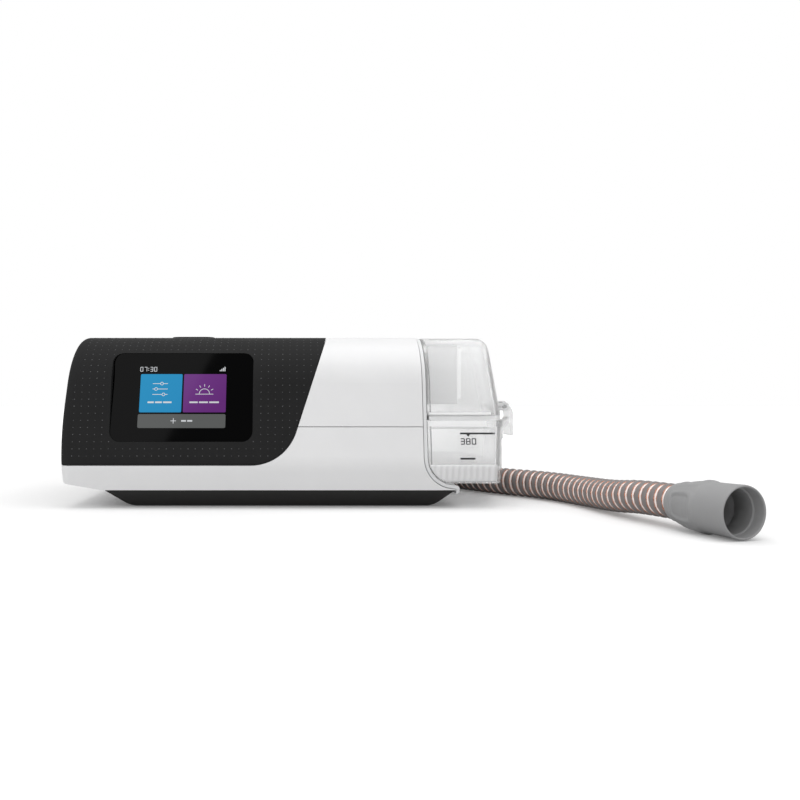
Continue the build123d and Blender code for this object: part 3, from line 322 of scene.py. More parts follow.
def glyph_glow_and_painted_highlight(name, colour, low_colour, glow):
    """Lit area of the display, a little brighter to its upper left; also a glowing painted
    highlight on a part that is no lamp.
    """
    material, tree, shader, place = start_material(name)
    parts = put(tree, "ShaderNodeSeparateXYZ", {"Vector": place})
    slope = reckon(tree, "SUBTRACT", parts.outputs["Z"], parts.outputs["X"])
    share = spread(tree, slope, 0.1, 0.16)
    grain = noise(tree, place, 5000.0, 1.0, 0.5)
    tone = blend_colours(tree, share, (*low_colour, 1.0), (*colour, 1.0))
    tone = blend_colours(tree, spread(tree, grain, 0.2, 0.8, 0.0, 0.08), tone, black)
    set_inputs(
        tree,
        shader,
        Base_Color=(0.004, 0.004, 0.004, 1.0),
        Emission_Color=tone,
        Emission_Strength=glow,
        Roughness=0.05,
        Specular_IOR_Level=0.045,
    )
    return material


def foam_material(name, colour, cell):
    """Open foam or felt with cells, rough all over, each cell darker in its middle as painted shade
    in its pore.
    """
    material, tree, shader, place = start_material(name)
    cells = put(tree, "ShaderNodeTexVoronoi", {"Vector": place, "Scale": cell}).outputs["Distance"]
    wall = spread(tree, cells, 0.0, 0.7)
    # Darker cell middles are painted shade in the pores.
    tone = blend_colours(tree, wall, shade(colour, 0.5), shade(colour, 1.15))
    bump = add_bump(tree, 0.9, 0.0004, cells)
    set_inputs(tree, shader, Base_Color=tone, Roughness=0.95, Normal=bump, Sheen_Weight=0.2)
    return material


def circuit_material(name):
    """Green solder resist with copper tracks under it."""
    material, tree, shader, place = start_material(name)
    links = {"Vector": place, "Rotation": (math.pi / 2, 0, 0)}
    laid = put(tree, "ShaderNodeMapping", links).outputs[0]
    links = {"Vector": laid, "Scale": 260.0, "Mortar Size": 0.06}
    track = put(tree, "ShaderNodeTexBrick", links).outputs["Fac"]
    tone = blend_colours(tree, track, (0.012, 0.11, 0.045, 1.0), (0.05, 0.24, 0.09, 1.0))
    bump = add_bump(tree, 0.4, 0.00004, track)
    set_inputs(tree, shader, Base_Color=tone, Roughness=0.3, Normal=bump)
    return material


def winding_material(name):
    """Enamelled copper wire wound in layers."""
    material, tree, shader, place = start_material(name)
    wave = put(
        tree,
        "ShaderNodeTexWave",
        {"Vector": place, "Scale": 700.0, "Distortion": 0.6},
        wave_type="BANDS",
        bands_direction="Z",
    ).outputs["Fac"]
    tone = blend_colours(tree, wave, (0.16, 0.045, 0.012, 1.0), (0.72, 0.3, 0.14, 1.0))
    bump = add_bump(tree, 0.7, 0.0002, wave)
    set_inputs(tree, shader, Base_Color=tone, Metallic=1.0, Roughness=0.3, Normal=bump)
    return material


def hose_material(name):
    """Smoky ridges with a glossy film between them, painted pale with a faint glow as a painted
    highlight, and a copper edge on each side.
    """
    material, tree, shader, place = start_material(name)
    laid = put(tree, "ShaderNodeUVMap", uv_map="wound").outputs[0]
    along = put(tree, "ShaderNodeSeparateXYZ", {"Vector": laid}).outputs["X"]
    part = reckon(tree, "FRACT", along, 0.0)
    ramp = put(tree, "ShaderNodeValToRGB", {"Fac": part})
    stops = ramp.color_ramp.elements
    ridge, ridge_side = (0.24, 0.222, 0.217, 1.0), (0.22, 0.19, 0.185, 1.0)
    # The pale film colour between the ridges is a painted highlight.
    copper_edge, film_painted_highlight = (0.36, 0.19, 0.14, 1.0), (1.0, 0.9, 0.87, 1.0)
    stops[0].position, stops[0].color = 0.0, ridge
    stops[1].position, stops[1].color = 1.0, ridge
    for position, colour in (
        (0.29, ridge_side),
        (0.34, copper_edge),
        (0.41, film_painted_highlight),
        (0.59, film_painted_highlight),
        (0.66, copper_edge),
        (0.71, ridge_side),
    ):
        stops.new(position).color = colour
    away = reckon(tree, "ABSOLUTE", reckon(tree, "SUBTRACT", part, 0.5), 0.0)
    film = spread(tree, away, 0.1, 0.2, 1.0, 0.0)
    surface = use_group(tree, moulded_grain, Place=place, Grain_Size=2500.0)
    soiled = spread(tree, surface["Tone"], 0.0, 1.0, 0.0, 0.25)
    tone = blend_colours(tree, soiled, ramp.outputs[0], (0.1, 0.09, 0.085, 1.0))
    rough = spread(tree, film, 0.0, 1.0, 0.42, 0.12)
    set_inputs(
        tree,
        shader,
        Base_Color=tone,
        Roughness=rough,
        Normal=add_bump(tree, 0.25, 0.00003, surface["Height"]),
        Specular_IOR_Level=spread(tree, film, 0.0, 1.0, 0.5, 1.0),
        # The film's faint glow is a painted highlight; the hose is no lamp.
        Emission_Color=(1.0, 0.86, 0.82, 1.0),
        Emission_Strength=reckon(tree, "MULTIPLY", film, 0.1),
    )
    return material


# Slot, then the material's name, colour, roughness, grain per metre, depth of the grain in metres,
# unevenness, dust and, where it isn't 0.5, level of gloss
moulded_finishes = (
    ("black_cover", "dotted_black_cover", (0.0175, 0.0175, 0.0178), 0.64, 4200, 30e-6, 0.12, 0.02,
     0.08),
    ("black_button", "black_button", (0.009, 0.009, 0.0095), 0.42, 5200, 10e-6, 0.1, 0.02, 0.3),
    ("white_shell", "white_shell", (0.79, 0.79, 0.795), 0.36, 3600, 12e-6, 0.015, 0.02),
    ("bay_grey", "pale_bay_liner", (0.74, 0.745, 0.75), 0.4, 3200, 15e-6, 0.02, 0.04),
    ("rear_grey", "textured_rear_panel", (0.045, 0.046, 0.049), 0.55, 2200, 60e-6, 0.1, 0.12),
    ("tray_dark", "textured_base_tray", (0.016, 0.0155, 0.0148), 0.6, 2400, 60e-6, 0.12, 0.06),
    ("inlet_black", "black_fitting", (0.012, 0.012, 0.013), 0.45, 3000, 20e-6, 0.1, 0.05),
    ("connector_grey", "grey_connector", (0.2, 0.2, 0.205), 0.45, 2800, 30e-6, 0.05, 0.05),
    ("inner_plastic", "unpainted_inner_plastic", (0.42, 0.43, 0.44), 0.5, 1800, 30e-6, 0.04, 0.05),
    ("soft_grey_seal", "pale_silicone", (0.86, 0.865, 0.87), 0.55, 1500, 20e-6, 0.02, 0.02),
    ("duct_grey", "pale_lid_duct", (0.93, 0.932, 0.935), 0.35, 2500, 20e-6, 0.02, 0.0),
    ("black_rubber", "black_rubber", (0.014, 0.014, 0.014), 0.8, 1600, 80e-6, 0.15, 0.1, 0.3),
    ("cuff_grey", "grey_soft_cuff", (0.3, 0.3, 0.303), 0.55, 2600, 30e-6, 0.04, 0.03),
    ("ribbon", "amber_ribbon", (0.42, 0.17, 0.02), 0.25, 900, 20e-6, 0.1, 0.0),
    ("screen_glass", "black_screen_glass", (0.0003, 0.0003, 0.0004), 0.05, 300, 5e-7, 0.1, 0.0,
     0.045),
    ("display", "dark_display", (0.01, 0.01, 0.012), 0.2, 900, 5e-6, 0.1, 0.0),
)
finishes = {slot: moulded(*values) for slot, *values in moulded_finishes}
finishes |= {
    "clear_tub": clear_plastic("clear_tub_plastic", (0.986, 0.988, 0.99, 1.0), 0.06, 0.76, 1.2),
    "plate_metal": worked_metal("anodised_plate", (0.62, 0.62, 0.64), 0.34, (60, 4000, 4000)),
    "steel": worked_metal("plain_steel", (0.55, 0.55, 0.56), 0.3, (3000, 3000, 90)),
    "copper_winding": winding_material("copper_winding"),
    "circuit_board": circuit_material("circuit_board"),
    "foam": foam_material("filter_foam", (0.34, 0.35, 0.37), 1400.0),
    "hose_film": hose_material("wound_hose_film"),
}
for part in frame["record"]["subparts"]:
    piece = nodes[part["node"]]
    if not piece.material_slots:
        piece.data.materials.append(None)
    for slot in piece.material_slots:
        slot.material = finishes[part["material_slot"]]


# ---- Meshes ----
def add_piece(name, mesh, body):
    """Piece made of a mesh in the machine's frame, on a body."""
    piece = bpy.data.objects.new(name, mesh)
    bpy.context.collection.objects.link(piece)
    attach(piece, body)
    return piece


def make_piece(name, points, faces, material, body, smooth=True):
    """Piece from points and faces in the machine's frame, with a material."""
    mesh = bpy.data.meshes.new(name)
    mesh.from_pydata([tuple(point) for point in points], [], faces)
    mesh.polygons.foreach_set("use_smooth", [smooth] * len(mesh.polygons))
    mesh.materials.append(material)
    mesh.update()
    return add_piece(name, mesh, body)


def turn_faces_out(piece):
    """Recalculates a closed mesh's normals so that they point outwards."""
    mesh = bmesh.new()
    mesh.from_mesh(piece.data)
    bmesh.ops.recalc_face_normals(mesh, faces=mesh.faces)
    mesh.to_mesh(piece.data)
    mesh.free()


def make_plain_piece(name, points, faces, material, body, smooth=False):
    """Flat-shaded piece, unless told otherwise, with its faces turned outwards."""
    piece = make_piece(name, points, faces, material, body, smooth)
    turn_faces_out(piece)
    return piece


def set_uv(piece, name, corner_place):
    """UV map from a function of a face's number and its corner's number."""
    layer = piece.data.uv_layers.new(name=name)
    for polygon in piece.data.polygons:
        for corner, loop in enumerate(polygon.loop_indices):
            layer.data[loop].uv = corner_place(polygon.index, corner)


def ring_faces(low, high, around):
    """Faces between two rings of points, from the numbers of their first points."""
    turns = [(step, (step + 1) % around) for step in range(around)]
    return [(low + step, low + after, high + after, high + step) for step, after in turns]


def tube_faces(rows, around):
    """Faces of a tube of rings, with its two ends closed by the last two points."""
    faces = []
    for row in range(rows - 1):
        faces += ring_faces(row * around, (row + 1) * around, around)
    last = (rows - 1) * around
    for step in range(around):
        after = (step + 1) % around
        faces.append((rows * around, after, step))
        faces.append((rows * around + 1, last + step, last + after))
    return faces


def even_points(points, spacing):
    """Points at an even spacing along a line of points."""
    total = sum((b - a).length for a, b in zip(points, points[1:]))
    count = max(2, round(total / spacing))
    spacing = total / count
    result = [points[0].copy()]
    walked, target = 0.0, spacing
    for a, b in zip(points, points[1:]):
        length = (b - a).length
        while target <= walked + length + 1e-9 and len(result) < count:
            result.append(a.lerp(b, (target - walked) / length))
            target += spacing
        walked += length
    result.append(points[-1].copy())
    return result, spacing


def directions_along(points):
    """Direction of the line at each of its points."""
    last = len(points) - 1
    pairs = [(points[max(0, at - 1)], points[min(last, at + 1)]) for at in range(last + 1)]
    return [(after - before).normalized() for before, after in pairs]


def carried_frames(points):
    """Sideways and upward directions at each point, carried along without twisting."""
    tangents = directions_along(points)
    side = tangents[0].orthogonal().normalized()
    frames = []
    for tangent in tangents:
        side = (side - tangent * side.dot(tangent)).normalized()
        frames.append((side, tangent.cross(side)))
    return frames


def circle_place(point, frame, angle, reach):
    """Place at an angle on a circle round a line's point, in the frame carried to it."""
    side, up = frame
    return point + (side * math.cos(angle) + up * math.sin(angle)) * reach


# ---- Hose ----
def smooth_step(value):
    """Value held to 0 to 1 and eased at both ends."""
    value = min(1.0, max(0.0, value))
    return value * value * (3 - 2 * value)


def height_in_coil(turn):
    """Height of the hose's middle after so many degrees, falling one level on two stretches."""
    for start, upper, lower in zip(fall_starts, level_height, level_height[1:]):
        if turn < start:
            return upper
        if turn < start + fall_turn:
            return upper + (lower - upper) * smooth_step((turn - start) / fall_turn)
    return level_height[-1]


def hose_line():
    """Middle line of the whole hose, read from one NURBS spline through its route and its coil."""
    step = 22.5
    # A quadratic spline runs inside its control points by this share
    reach = coil_radius / ((3 + math.cos(math.radians(step))) / 4)
    points = [Vector(point) * mm for point in lead_route]
    turn = step / 2
    while turn < coil_end_turn:
        angle = math.radians(turn)
        across = coil_middle + Vector((math.cos(angle), math.sin(angle), 0)) * reach
        points.append(Vector((across.x, across.y, height_in_coil(turn))))
        turn += step
    points += [Vector(point) * mm for point in run_route]
    curve = bpy.data.curves.new("hose_middle", "CURVE")
    curve.dimensions = "3D"
    curve.resolution_u = 16
    spline = curve.splines.new("NURBS")
    spline.points.add(len(points) - 1)
    for place, point in zip(spline.points, points):
        place.co = (*point, 1.0)
    spline.order_u = 3
    spline.use_endpoint_u = True
    carrier = bpy.data.objects.new("hose_middle", curve)
    mesh = bpy.data.meshes.new_from_object(carrier)
    line = [vertex.co.copy() for vertex in mesh.vertices]
    bpy.data.objects.remove(carrier)
    bpy.data.curves.remove(curve)
    bpy.data.meshes.remove(mesh)
    return line


def ridge_height(phase):
    """Share of the ridge's height at a phase, with a broad round ridge and a narrow valley."""
    wave = 0.5 + 0.5 * math.cos(2 * math.pi * phase)
    return wave**0.7


def make_hose():
    """Wound hose wall and the two heating wires that run beside its ridges."""
    line = hose_line()
    rows_per_turn, around = 8, 26
    points, spacing = even_points(line, hose_pitch / rows_per_turn)
    pitch = spacing * rows_per_turn
    ring_points = []
    for row, (point, carried) in enumerate(zip(points, carried_frames(points))):
        for step in range(around):
            angle = 2 * math.pi * step / around
            phase = row / rows_per_turn - step / around
            reach = hose_valley + (hose_radius - hose_valley) * ridge_height(phase)
            ring_points.append(circle_place(point, carried, angle, reach))
    rows = len(points)
    faces = tube_faces(rows, around)
    ring_points += [points[0], points[-1]]
    wall = make_piece("hose_wall", ring_points, faces, finishes["hose_film"], "root")
    quads = (rows - 1) * around

    def wound_place(face, corner):
        """Ridges counted along the hose, from 4 so that none is below zero, and share round it."""
        if face >= quads:
            return (0.0, 0.0)
        row, step = divmod(face, around)
        row += 1 if corner in (2, 3) else 0
        step += 1 if corner in (1, 2) else 0
        return (row / rows_per_turn - step / around + 4.0, step / around)

    set_uv(wall, "wound", wound_place)
    length = sum((b - a).length for a, b in zip(line, line[1:]))

    per_turn, sides = 12, 5
    wire_points, spacing = even_points(line, pitch / per_turn)
    frames = carried_frames(wire_points)
    reach, thickness = hose_valley + 0.42 * mm, 0.3 * mm
    copper = worked_metal("copper_heating_wire", (0.62, 0.3, 0.2), 0.25, (900, 900, 900))
    wires = []
    for name, offset in (("heating_wire", 0.33), ("sensing_wire", 0.67)):
        helix = []
        for row, (point, carried) in enumerate(zip(wire_points, frames)):
            angle = 2 * math.pi * (row * spacing / pitch - offset)
            helix.append(circle_place(point, carried, angle, reach))
        wire_mesh = []
        for point, carried in zip(helix, carried_frames(helix)):
            for step in range(sides):
                angle = 2 * math.pi * step / sides
                wire_mesh.append(circle_place(point, carried, angle, thickness))
        wire_mesh += [helix[0], helix[-1]]
        faces = tube_faces(len(helix), sides)
        wires.append(make_piece(name, wire_mesh, faces, copper, "root"))
    return wall, wires, points, length


wall, wires, middle_line, hose_length = make_hose()
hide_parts("hose_lead", "hose_coil", "hose_run")


# ---- Mask cuff ----
def cuff_outside(along):
    """Outer radius of the mask cuff at a distance from its back end, in millimetres."""
    stops = [
        (0.0, 8.95),
        (0.8, 9.2),
        (3.4, 9.5),
        (6.4, 10.3),
        (9.9, 11.2),
        (13.4, 11.75),
        (15.9, 11.9),
        (18.9, 11.88),
        (20.4, 11.55),
        (21.2, 11.5),
        (28.4, 11.62),
        (36.0, 11.82),
        (36.9, 11.7),
        (37.4, 11.4),
    ]
    for (low, first), (high, second) in zip(stops, stops[1:]):
        if along <= high:
            return first + (second - first) * (along - low) / (high - low)
    return stops[-1][1]


pad_middle, pad_radius = 11.3, 11.5
pad_half_length, pad_half_width = 6.4, 6.0
pad_depth, frame_height = 0.75, 0.25


def pad_sink(along, angle):
    """How far a grip pad sinks at a place on the cuff, in millimetres, inside its raised frame."""
    nearest = (angle + math.pi / 4) % (math.pi / 2) - math.pi / 4
    across = abs(nearest) * pad_radius / pad_half_width
    lengthways = abs(along - pad_middle) / pad_half_length
    rounded = across**6 + lengthways**6
    edge = max(across, lengthways, rounded ** (1 / 6))
    sink = pad_depth * smooth_step((1.02 - edge) / 0.14)
    rise = frame_height * smooth_step((1.32 - edge) / 0.12)
    return frame_height + sink - rise


def make_mask_cuff():
    """Soft grey cuff at the mask end, with grip pads, a step and a stepped bore."""
    back = Vector(run_route[-1]) * mm
    ahead = (back - Vector(run_route[-2]) * mm).normalized()
    side = ahead.cross(Vector((0, 0, 1))).normalized()
    up = side.cross(ahead)
    around = 128
    outside = [0.0, 0.4, 0.8, 1.6] + [2.4 + 0.35 * index for index in range(55)]
    outside += [22.0, 24.0, 28.4, 32.0, 34.5, 35.6, 36.0, 36.4, 36.7, 37.0, 37.3]
    inside = [
        (37.3, 10.75),
        (36.95, 10.55),
        (36.4, 10.45),
        (32.2, 10.4),
        (31.9, 10.3),
        (31.8, 9.85),
        (31.4, 9.8),
        (22.4, 9.8),
        (22.0, 10.15),
        (21.0, 10.15),
        (20.6, 9.8),
        (14.0, 9.8),
        (13.6, 9.6),
        (13.4, 9.2),
        (13.4, 8.6),
        (13.0, 8.5),
        (11.2, 8.5),
        (10.8, 8.3),
        (10.4, 8.1),
        (10.4, 7.7),
        (10.0, 7.5),
        (2.0, 7.5),
    ]
    angles = [2 * math.pi * step / around for step in range(around)]
    rings = []
    for along in outside:
        rings.append((along, [cuff_outside(along) - pad_sink(along, angle) for angle in angles]))
    rings += [(along, [reach] * around) for along, reach in inside]
    points = []
    for along, reaches in rings:
        for angle, reach in zip(angles, reaches):
            outward = side * math.cos(angle) + up * math.sin(angle)
            points.append(back + (ahead * along + outward * reach) * mm)
    faces = []
    for row in range(len(rings)):
        faces += ring_faces(row * around, (row + 1) % len(rings) * around, around)
    grey = finishes["cuff_grey"]
    return make_plain_piece("soft_mask_cuff", points, faces, grey, "root", smooth=True)


mask_cuff = make_mask_cuff()
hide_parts("mask_cuff")
for piece in (wall, *wires):
    turn_faces_out(piece)


# ---- Screen content ----
glass_middle = Vector((-64.3, -59.872, 60.2))
glass_right = Vector((1.0, 0.0, 0.0))
glass_up = Vector((0.0, 0.28402, 0.95882))
glass_out = Vector((0.0, -0.95882, 0.28402))
glyph_gap, glyph_thickness = 0.01, 0.06


def on_glass(right, up, out):
    """Place on the screen's glass, in metres, from millimetres along it and out of it."""
    return (glass_middle + glass_right * right + glass_up * up + glass_out * out) * mm


def rounded_corners(left, low, right, high, radius, steps=5):
    """Corner points of a flat rounded rectangle, counted round from its lower right."""
    points = []
    for x, y, start in (
        (right - radius, low + radius, -90),
        (right - radius, high - radius, 0),
        (left + radius, high - radius, 90),
        (left + radius, low + radius, 180),
    ):
        for step in range(steps + 1):
            angle = math.radians(start + 90 * step / steps)
            points.append((x + radius * math.cos(angle), y + radius * math.sin(angle)))
    return points


def arc_points(x, y, radius, start, end, step):
    """Points on a circle round a place, from one angle to another in degrees."""
    turns = [math.radians(turn) for turn in range(start, end + 1, step)]
    return [(x + radius * math.cos(turn), y + radius * math.sin(turn)) for turn in turns]


def bar_corners(start, end, width):
    """Corner points of a straight stroke between two points."""
    x, y = end[0] - start[0], end[1] - start[1]
    length = math.hypot(x, y)
    across, along = -y / length * width / 2, x / length * width / 2
    return [
        (start[0] - across, start[1] - along),
        (end[0] - across, end[1] - along),
        (end[0] + across, end[1] + along),
        (start[0] + across, start[1] + along),
    ]


def arc_bars(x, y, radius, start, end, step, stroke):
    """Strokes that follow an arc, one for each step in degrees."""
    points = arc_points(x, y, radius, start, end, step)
    return [bar_corners(here, after, stroke) for here, after in zip(points, points[1:])]


def label_bars(height, *ends):
    """Short thick bars in a row, where a display has a word."""
    return [bar_corners((left, height), (right, height), 0.9) for left, right in ends]


def plates_on_glass(name, outlines, material, lift=0.0):
    """One mesh of thin plates on the glass, each from its outline."""
    points, faces = [], []
    for outline in outlines:
        start, count = len(points), len(outline)
        for out in (lift + glyph_gap, lift + glyph_gap + glyph_thickness):
            points += [on_glass(x, y, out) for x, y in outline]
        faces.append(tuple(range(start + count - 1, start - 1, -1)))
        faces.append(tuple(range(start + count, start + 2 * count)))
        for step in range(count):
            after = (step + 1) % count
            faces.append((start + step, start + after, start + count + after, start + count + step))
    make_plain_piece(name, points, faces, material, "root")


segments = {
    "a": ((0.0, 1.0), (1.0, 1.0)),
    "b": ((1.0, 0.5), (1.0, 1.0)),
    "c": ((1.0, 0.0), (1.0, 0.5)),
    "d": ((0.0, 0.0), (1.0, 0.0)),
    "e": ((0.0, 0.0), (0.0, 0.5)),
    "f": ((0.0, 0.5), (0.0, 1.0)),
    "g": ((0.0, 0.5), (1.0, 0.5)),
}
digit_segments = {"0": "abcdef", "3": "abcdg", "7": "abc", "8": "abcdefg"}


def digit_corners(digit, left, low, width, height, stroke):
    """Outlines of a plain segmented digit."""
    outlines = []
    for name in digit_segments[digit]:
        (x0, y0), (x1, y1) = segments[name]
        start = (left + x0 * width, low + y0 * height)
        end = (left + x1 * width, low + y1 * height)
        outlines.append(bar_corners(start, end, stroke))
    return outlines


def make_screen_content():
    """Two tiles, a bar, clock numbers, signal bars and plain pictograms, without any wording."""
    blue = glyph_glow_and_painted_highlight("lit_blue_tile", (0.016, 0.275, 0.53), (0.012, 0.24, 0.5), 1.0)
    purple = glyph_glow_and_painted_highlight("lit_purple_tile", (0.178, 0.048, 0.254), (0.12, 0.021, 0.175), 1.0)
    grey = glyph_glow_and_painted_highlight("lit_grey_bar", (0.107, 0.112, 0.11), (0.1, 0.104, 0.102), 1.0)
    pale = glyph_glow_and_painted_highlight("lit_pale_strokes", (0.7, 0.72, 0.74), (0.6, 0.62, 0.64), 1.0)
    plates_on_glass("blue_tile", [rounded_corners(-23.4, -8.8, -0.45, 13.1, 0.7)], blue)
    plates_on_glass("purple_tile", [rounded_corners(0.45, -8.8, 23.8, 13.1, 0.7)], purple)
    plates_on_glass("grey_bar", [rounded_corners(-23.9, -17.6, 23.8, -9.8, 0.9)], grey)
    strokes = []
    for left, digit in ((-23.8, "0"), (-21.6, "7"), (-18.3, "3"), (-16.1, "0")):
        strokes += digit_corners(digit, left, 14.75, 1.3, 2.4, 0.27)
    strokes += [arc_points(-19.35, height, 0.22, 0, 324, 36) for height in (15.4, 16.5)]
    for index in range(4):
        left = 20.0 + index * 0.85
        strokes.append(rounded_corners(left, 14.8, left + 0.55, 15.5 + index * 0.6, 0.1, 2))
    plates_on_glass("clock_and_signal", strokes, pale)

    stroke = 0.34
    marks = []
    for height, knob in ((7.6, -11.6), (4.5, -14.7), (1.4, -10.5)):
        marks.append(bar_corners((-16.6, height), (knob - 0.9, height), stroke))
        marks.append(bar_corners((knob + 0.9, height), (-8.3, height), stroke))
        marks += arc_bars(knob, height, 0.8, 0, 360, 30, stroke)
    marks += label_bars(-3.1, (-19.0, -15.6), (-14.9, -11.2), (-10.5, -5.9))
    plates_on_glass("slider_pictogram", marks, pale, glyph_thickness)

    x, y = 11.9, 1.75
    rays = arc_bars(x, y, 2.85, 0, 180, 20, stroke)
    ray_ends = [arc_points(x, y, radius, 30, 150, 30) for radius in (4.1, 5.5)]
    rays += [bar_corners(inner, outer, stroke) for inner, outer in zip(*ray_ends)]
    rays.append(bar_corners((7.0, 1.55), (16.8, 1.55), stroke))
    rays += label_bars(-3.1, (3.9, 8.4), (9.1, 14.0), (14.7, 20.0))
    plates_on_glass("sunrise_pictogram", rays, pale, glyph_thickness)

    plus = [
        bar_corners((-6.0, -13.6), (-3.0, -13.6), 0.36),
        bar_corners((-4.5, -13.42), (-4.5, -12.1), 0.36),
        bar_corners((-4.5, -13.78), (-4.5, -15.1), 0.36),
    ]
    plus += label_bars(-13.6, (-0.2, 2.4), (3.1, 5.8))
    plates_on_glass("plus_pictogram", plus, pale, glyph_thickness)


make_screen_content()


# ---- Dots of the black cover ----
def surface_of(node):
    """Search tree of a piece's surface in the machine's frame."""
    mesh = bmesh.new()
    mesh.from_mesh(node.data)
    mesh.transform(node.matrix_world)
    tree = BVHTree.FromBMesh(mesh)
    mesh.free()
    return tree


def cover_section(surface):
    """Outer line of the cover's section with its outward directions, from the front to the top."""
    middle = Vector((-0.12, -0.005, 0.05))
    lowest, furthest_back = 0.0245, 0.056
    line = []
    for step in range(1700):
        angle = math.radians(-30 + step * 0.1)
        away = Vector((0.0, -math.cos(angle), math.sin(angle)))
        hit = surface.ray_cast(middle + away * 0.2, -away)[0]
        if hit and hit.z > lowest and hit.y < furthest_back:
            line.append(hit)
    points, _ = even_points(line, dot_pitch)
    outward = [Vector((0.0, -tangent.z, tangent.y)) for tangent in directions_along(points)]
    return list(zip(points, outward))


def dot_instancer():
    """Geometry nodes that place one low dome on each point, facing along its own direction."""
    tree = bpy.data.node_groups.new("dots_on_points", "GeometryNodeTree")
    inputs = (
        ("Points", "NodeSocketGeometry"),
        ("Dot Radius", "NodeSocketFloat"),
        ("Size Spread", "NodeSocketFloat"),
        ("Finish", "NodeSocketMaterial"),
    )
    for name, kind in inputs:
        tree.interface.new_socket(name=name, in_out="INPUT", socket_type=kind)
    tree.interface.new_socket(name="Dots", in_out="OUTPUT", socket_type="NodeSocketGeometry")
    given = tree.nodes.new("NodeGroupInput").outputs
    result = tree.nodes.new("NodeGroupOutput")
    height = reckon(tree, "MULTIPLY", given["Dot Radius"], 0.35)
    top = reckon(tree, "MULTIPLY", given["Dot Radius"], 0.55)
    dome = put(
        tree,
        "GeometryNodeMeshCone",
        {"Vertices": 8, "Radius Top": top, "Radius Bottom": given["Dot Radius"], "Depth": height},
    ).outputs["Mesh"]
    facing = put(
        tree, "GeometryNodeInputNamedAttribute", {"Name": "facing"}, data_type="FLOAT_VECTOR"
    ).outputs["Attribute"]
    turned = put(tree, "FunctionNodeAlignRotationToVector", {"Vector": facing}, axis="Z").outputs[0]
    low = reckon(tree, "SUBTRACT", 1.0, given["Size Spread"])
    high = reckon(tree, "ADD", 1.0, given["Size Spread"])
    random = put(tree, "FunctionNodeRandomValue", {"Seed": 7}, data_type="FLOAT")
    tree.links.new(low, random.inputs[2])
    tree.links.new(high, random.inputs[3])
    size = random.outputs[1]
    placed = put(
        tree,
        "GeometryNodeInstanceOnPoints",
        {"Points": given["Points"], "Instance": dome, "Rotation": turned, "Scale": size},
    ).outputs[0]
    whole = put(tree, "GeometryNodeRealizeInstances", {0: placed}).outputs[0]
    painted = {"Geometry": whole, "Material": given["Finish"]}
    finished = put(tree, "GeometryNodeSetMaterial", painted).outputs[0]
    tree.links.new(finished, result.inputs["Dots"])
    return tree


def grow_piece(name, points, facing, tree, values, body):
    """Plain mesh made by geometry nodes from a set of points with a direction each."""
    seed = bpy.data.meshes.new(name + "_points")
    seed.from_pydata([tuple(point) for point in points], [], [])
    layer = seed.attributes.new("facing", "FLOAT_VECTOR", "POINT")
    layer.data.foreach_set("vector", [value for direction in facing for value in direction])
    holder = bpy.data.objects.new(name + "_points", seed)
    bpy.context.collection.objects.link(holder)
    grower = holder.modifiers.new("grower", "NODES")
    grower.node_group = tree
    for socket in tree.interface.items_tree:
        if socket.in_out == "INPUT" and socket.name in values:
            grower[socket.identifier] = values[socket.name]
    seen = bpy.context.evaluated_depsgraph_get()
    mesh = bpy.data.meshes.new_from_object(holder.evaluated_get(seen))
    holder.modifiers.remove(grower)
    bpy.data.objects.remove(holder)
    mesh.name = name
    add_piece(name, mesh, body)


def make_cover_dots():
    """Even rows of small pale dots over the black cover, clear of its edges and openings."""
    surface = surface_of(nodes["front_cover"])
    probe, first_column, column_count = 0.02, -0.1265, 37
    margin, lift = 0.0013, 0.00002
    furthest_off, least_facing = 0.0003, 0.96

    def reaches(place, outward):
        """Whether the cover's surface lies at a place and faces the same way."""
        hit, normal, _, distance = surface.ray_cast(place + outward * probe, -outward)
        if hit is None or abs(distance - probe) >= furthest_off:
            return False
        return normal.dot(outward) > least_facing

    columns = [first_column + dot_pitch * index for index in range(column_count)]
    points, facing = [], []
    for place, outward in cover_section(surface):
        along = Vector((0.0, outward.z, -outward.y)) * margin
        across = Vector((margin, 0.0, 0.0))
        shifts = (along * 0, along, -along, across, -across)
        for column in columns:
            here = Vector((column, place.y, place.z))
            if all(reaches(here + shift, outward) for shift in shifts):
                points.append(here + outward * lift)
                facing.append(outward)
    pale = moulded("pale_dots", (0.075, 0.075, 0.079), 0.45, 6000, 10e-6, 0.2, 0.0)
    values = {"Dot Radius": 0.00027, "Size Spread": 0.25, "Finish": pale}
    grow_piece("cover_dots", points, facing, dot_instancer(), values, "root")


make_cover_dots()


# ---- Marks and grip ribs of the tub ----
tub_surfaces = [surface_of(nodes[name]) for name in ("tub_base", "tub_lid")]


def tub_front(x, z, out):
    """Place on the tub's front at an x and a height in millimetres, so far out of its surface."""
    start = Vector((x * mm, -0.1, z * mm))
    hits = [surface.ray_cast(start, Vector((0.0, 1.0, 0.0))) for surface in tub_surfaces]
    hits = [(hit, normal) for hit, normal, *_ in hits if hit is not None]
    if not hits:
        return None
    hit, normal = min(hits, key=lambda found: found[0].y)
    return hit + normal * out * mm


def slab_faces(start, rows, columns):
    """Faces of a slab between two layers of points in rows, from the number of its first point."""
    layer = rows * columns
    faces = []
    for row in range(rows - 1):
        for column in range(columns - 1):
            for shift in (start, start + layer):
                corner = shift + row * columns + column
                faces.append((corner, corner + 1, corner + columns + 1, corner + columns))
    edge = list(range(columns)) + [row * columns + columns - 1 for row in range(1, rows)]
    edge += [layer - 1 - column for column in range(1, columns)]
    edge += [row * columns for row in range(rows - 2, 0, -1)]
    for here, after in zip(edge, edge[1:] + edge[:1]):
        here, after = start + here, start + after
        faces.append((here, after, layer + after, layer + here))
    return faces


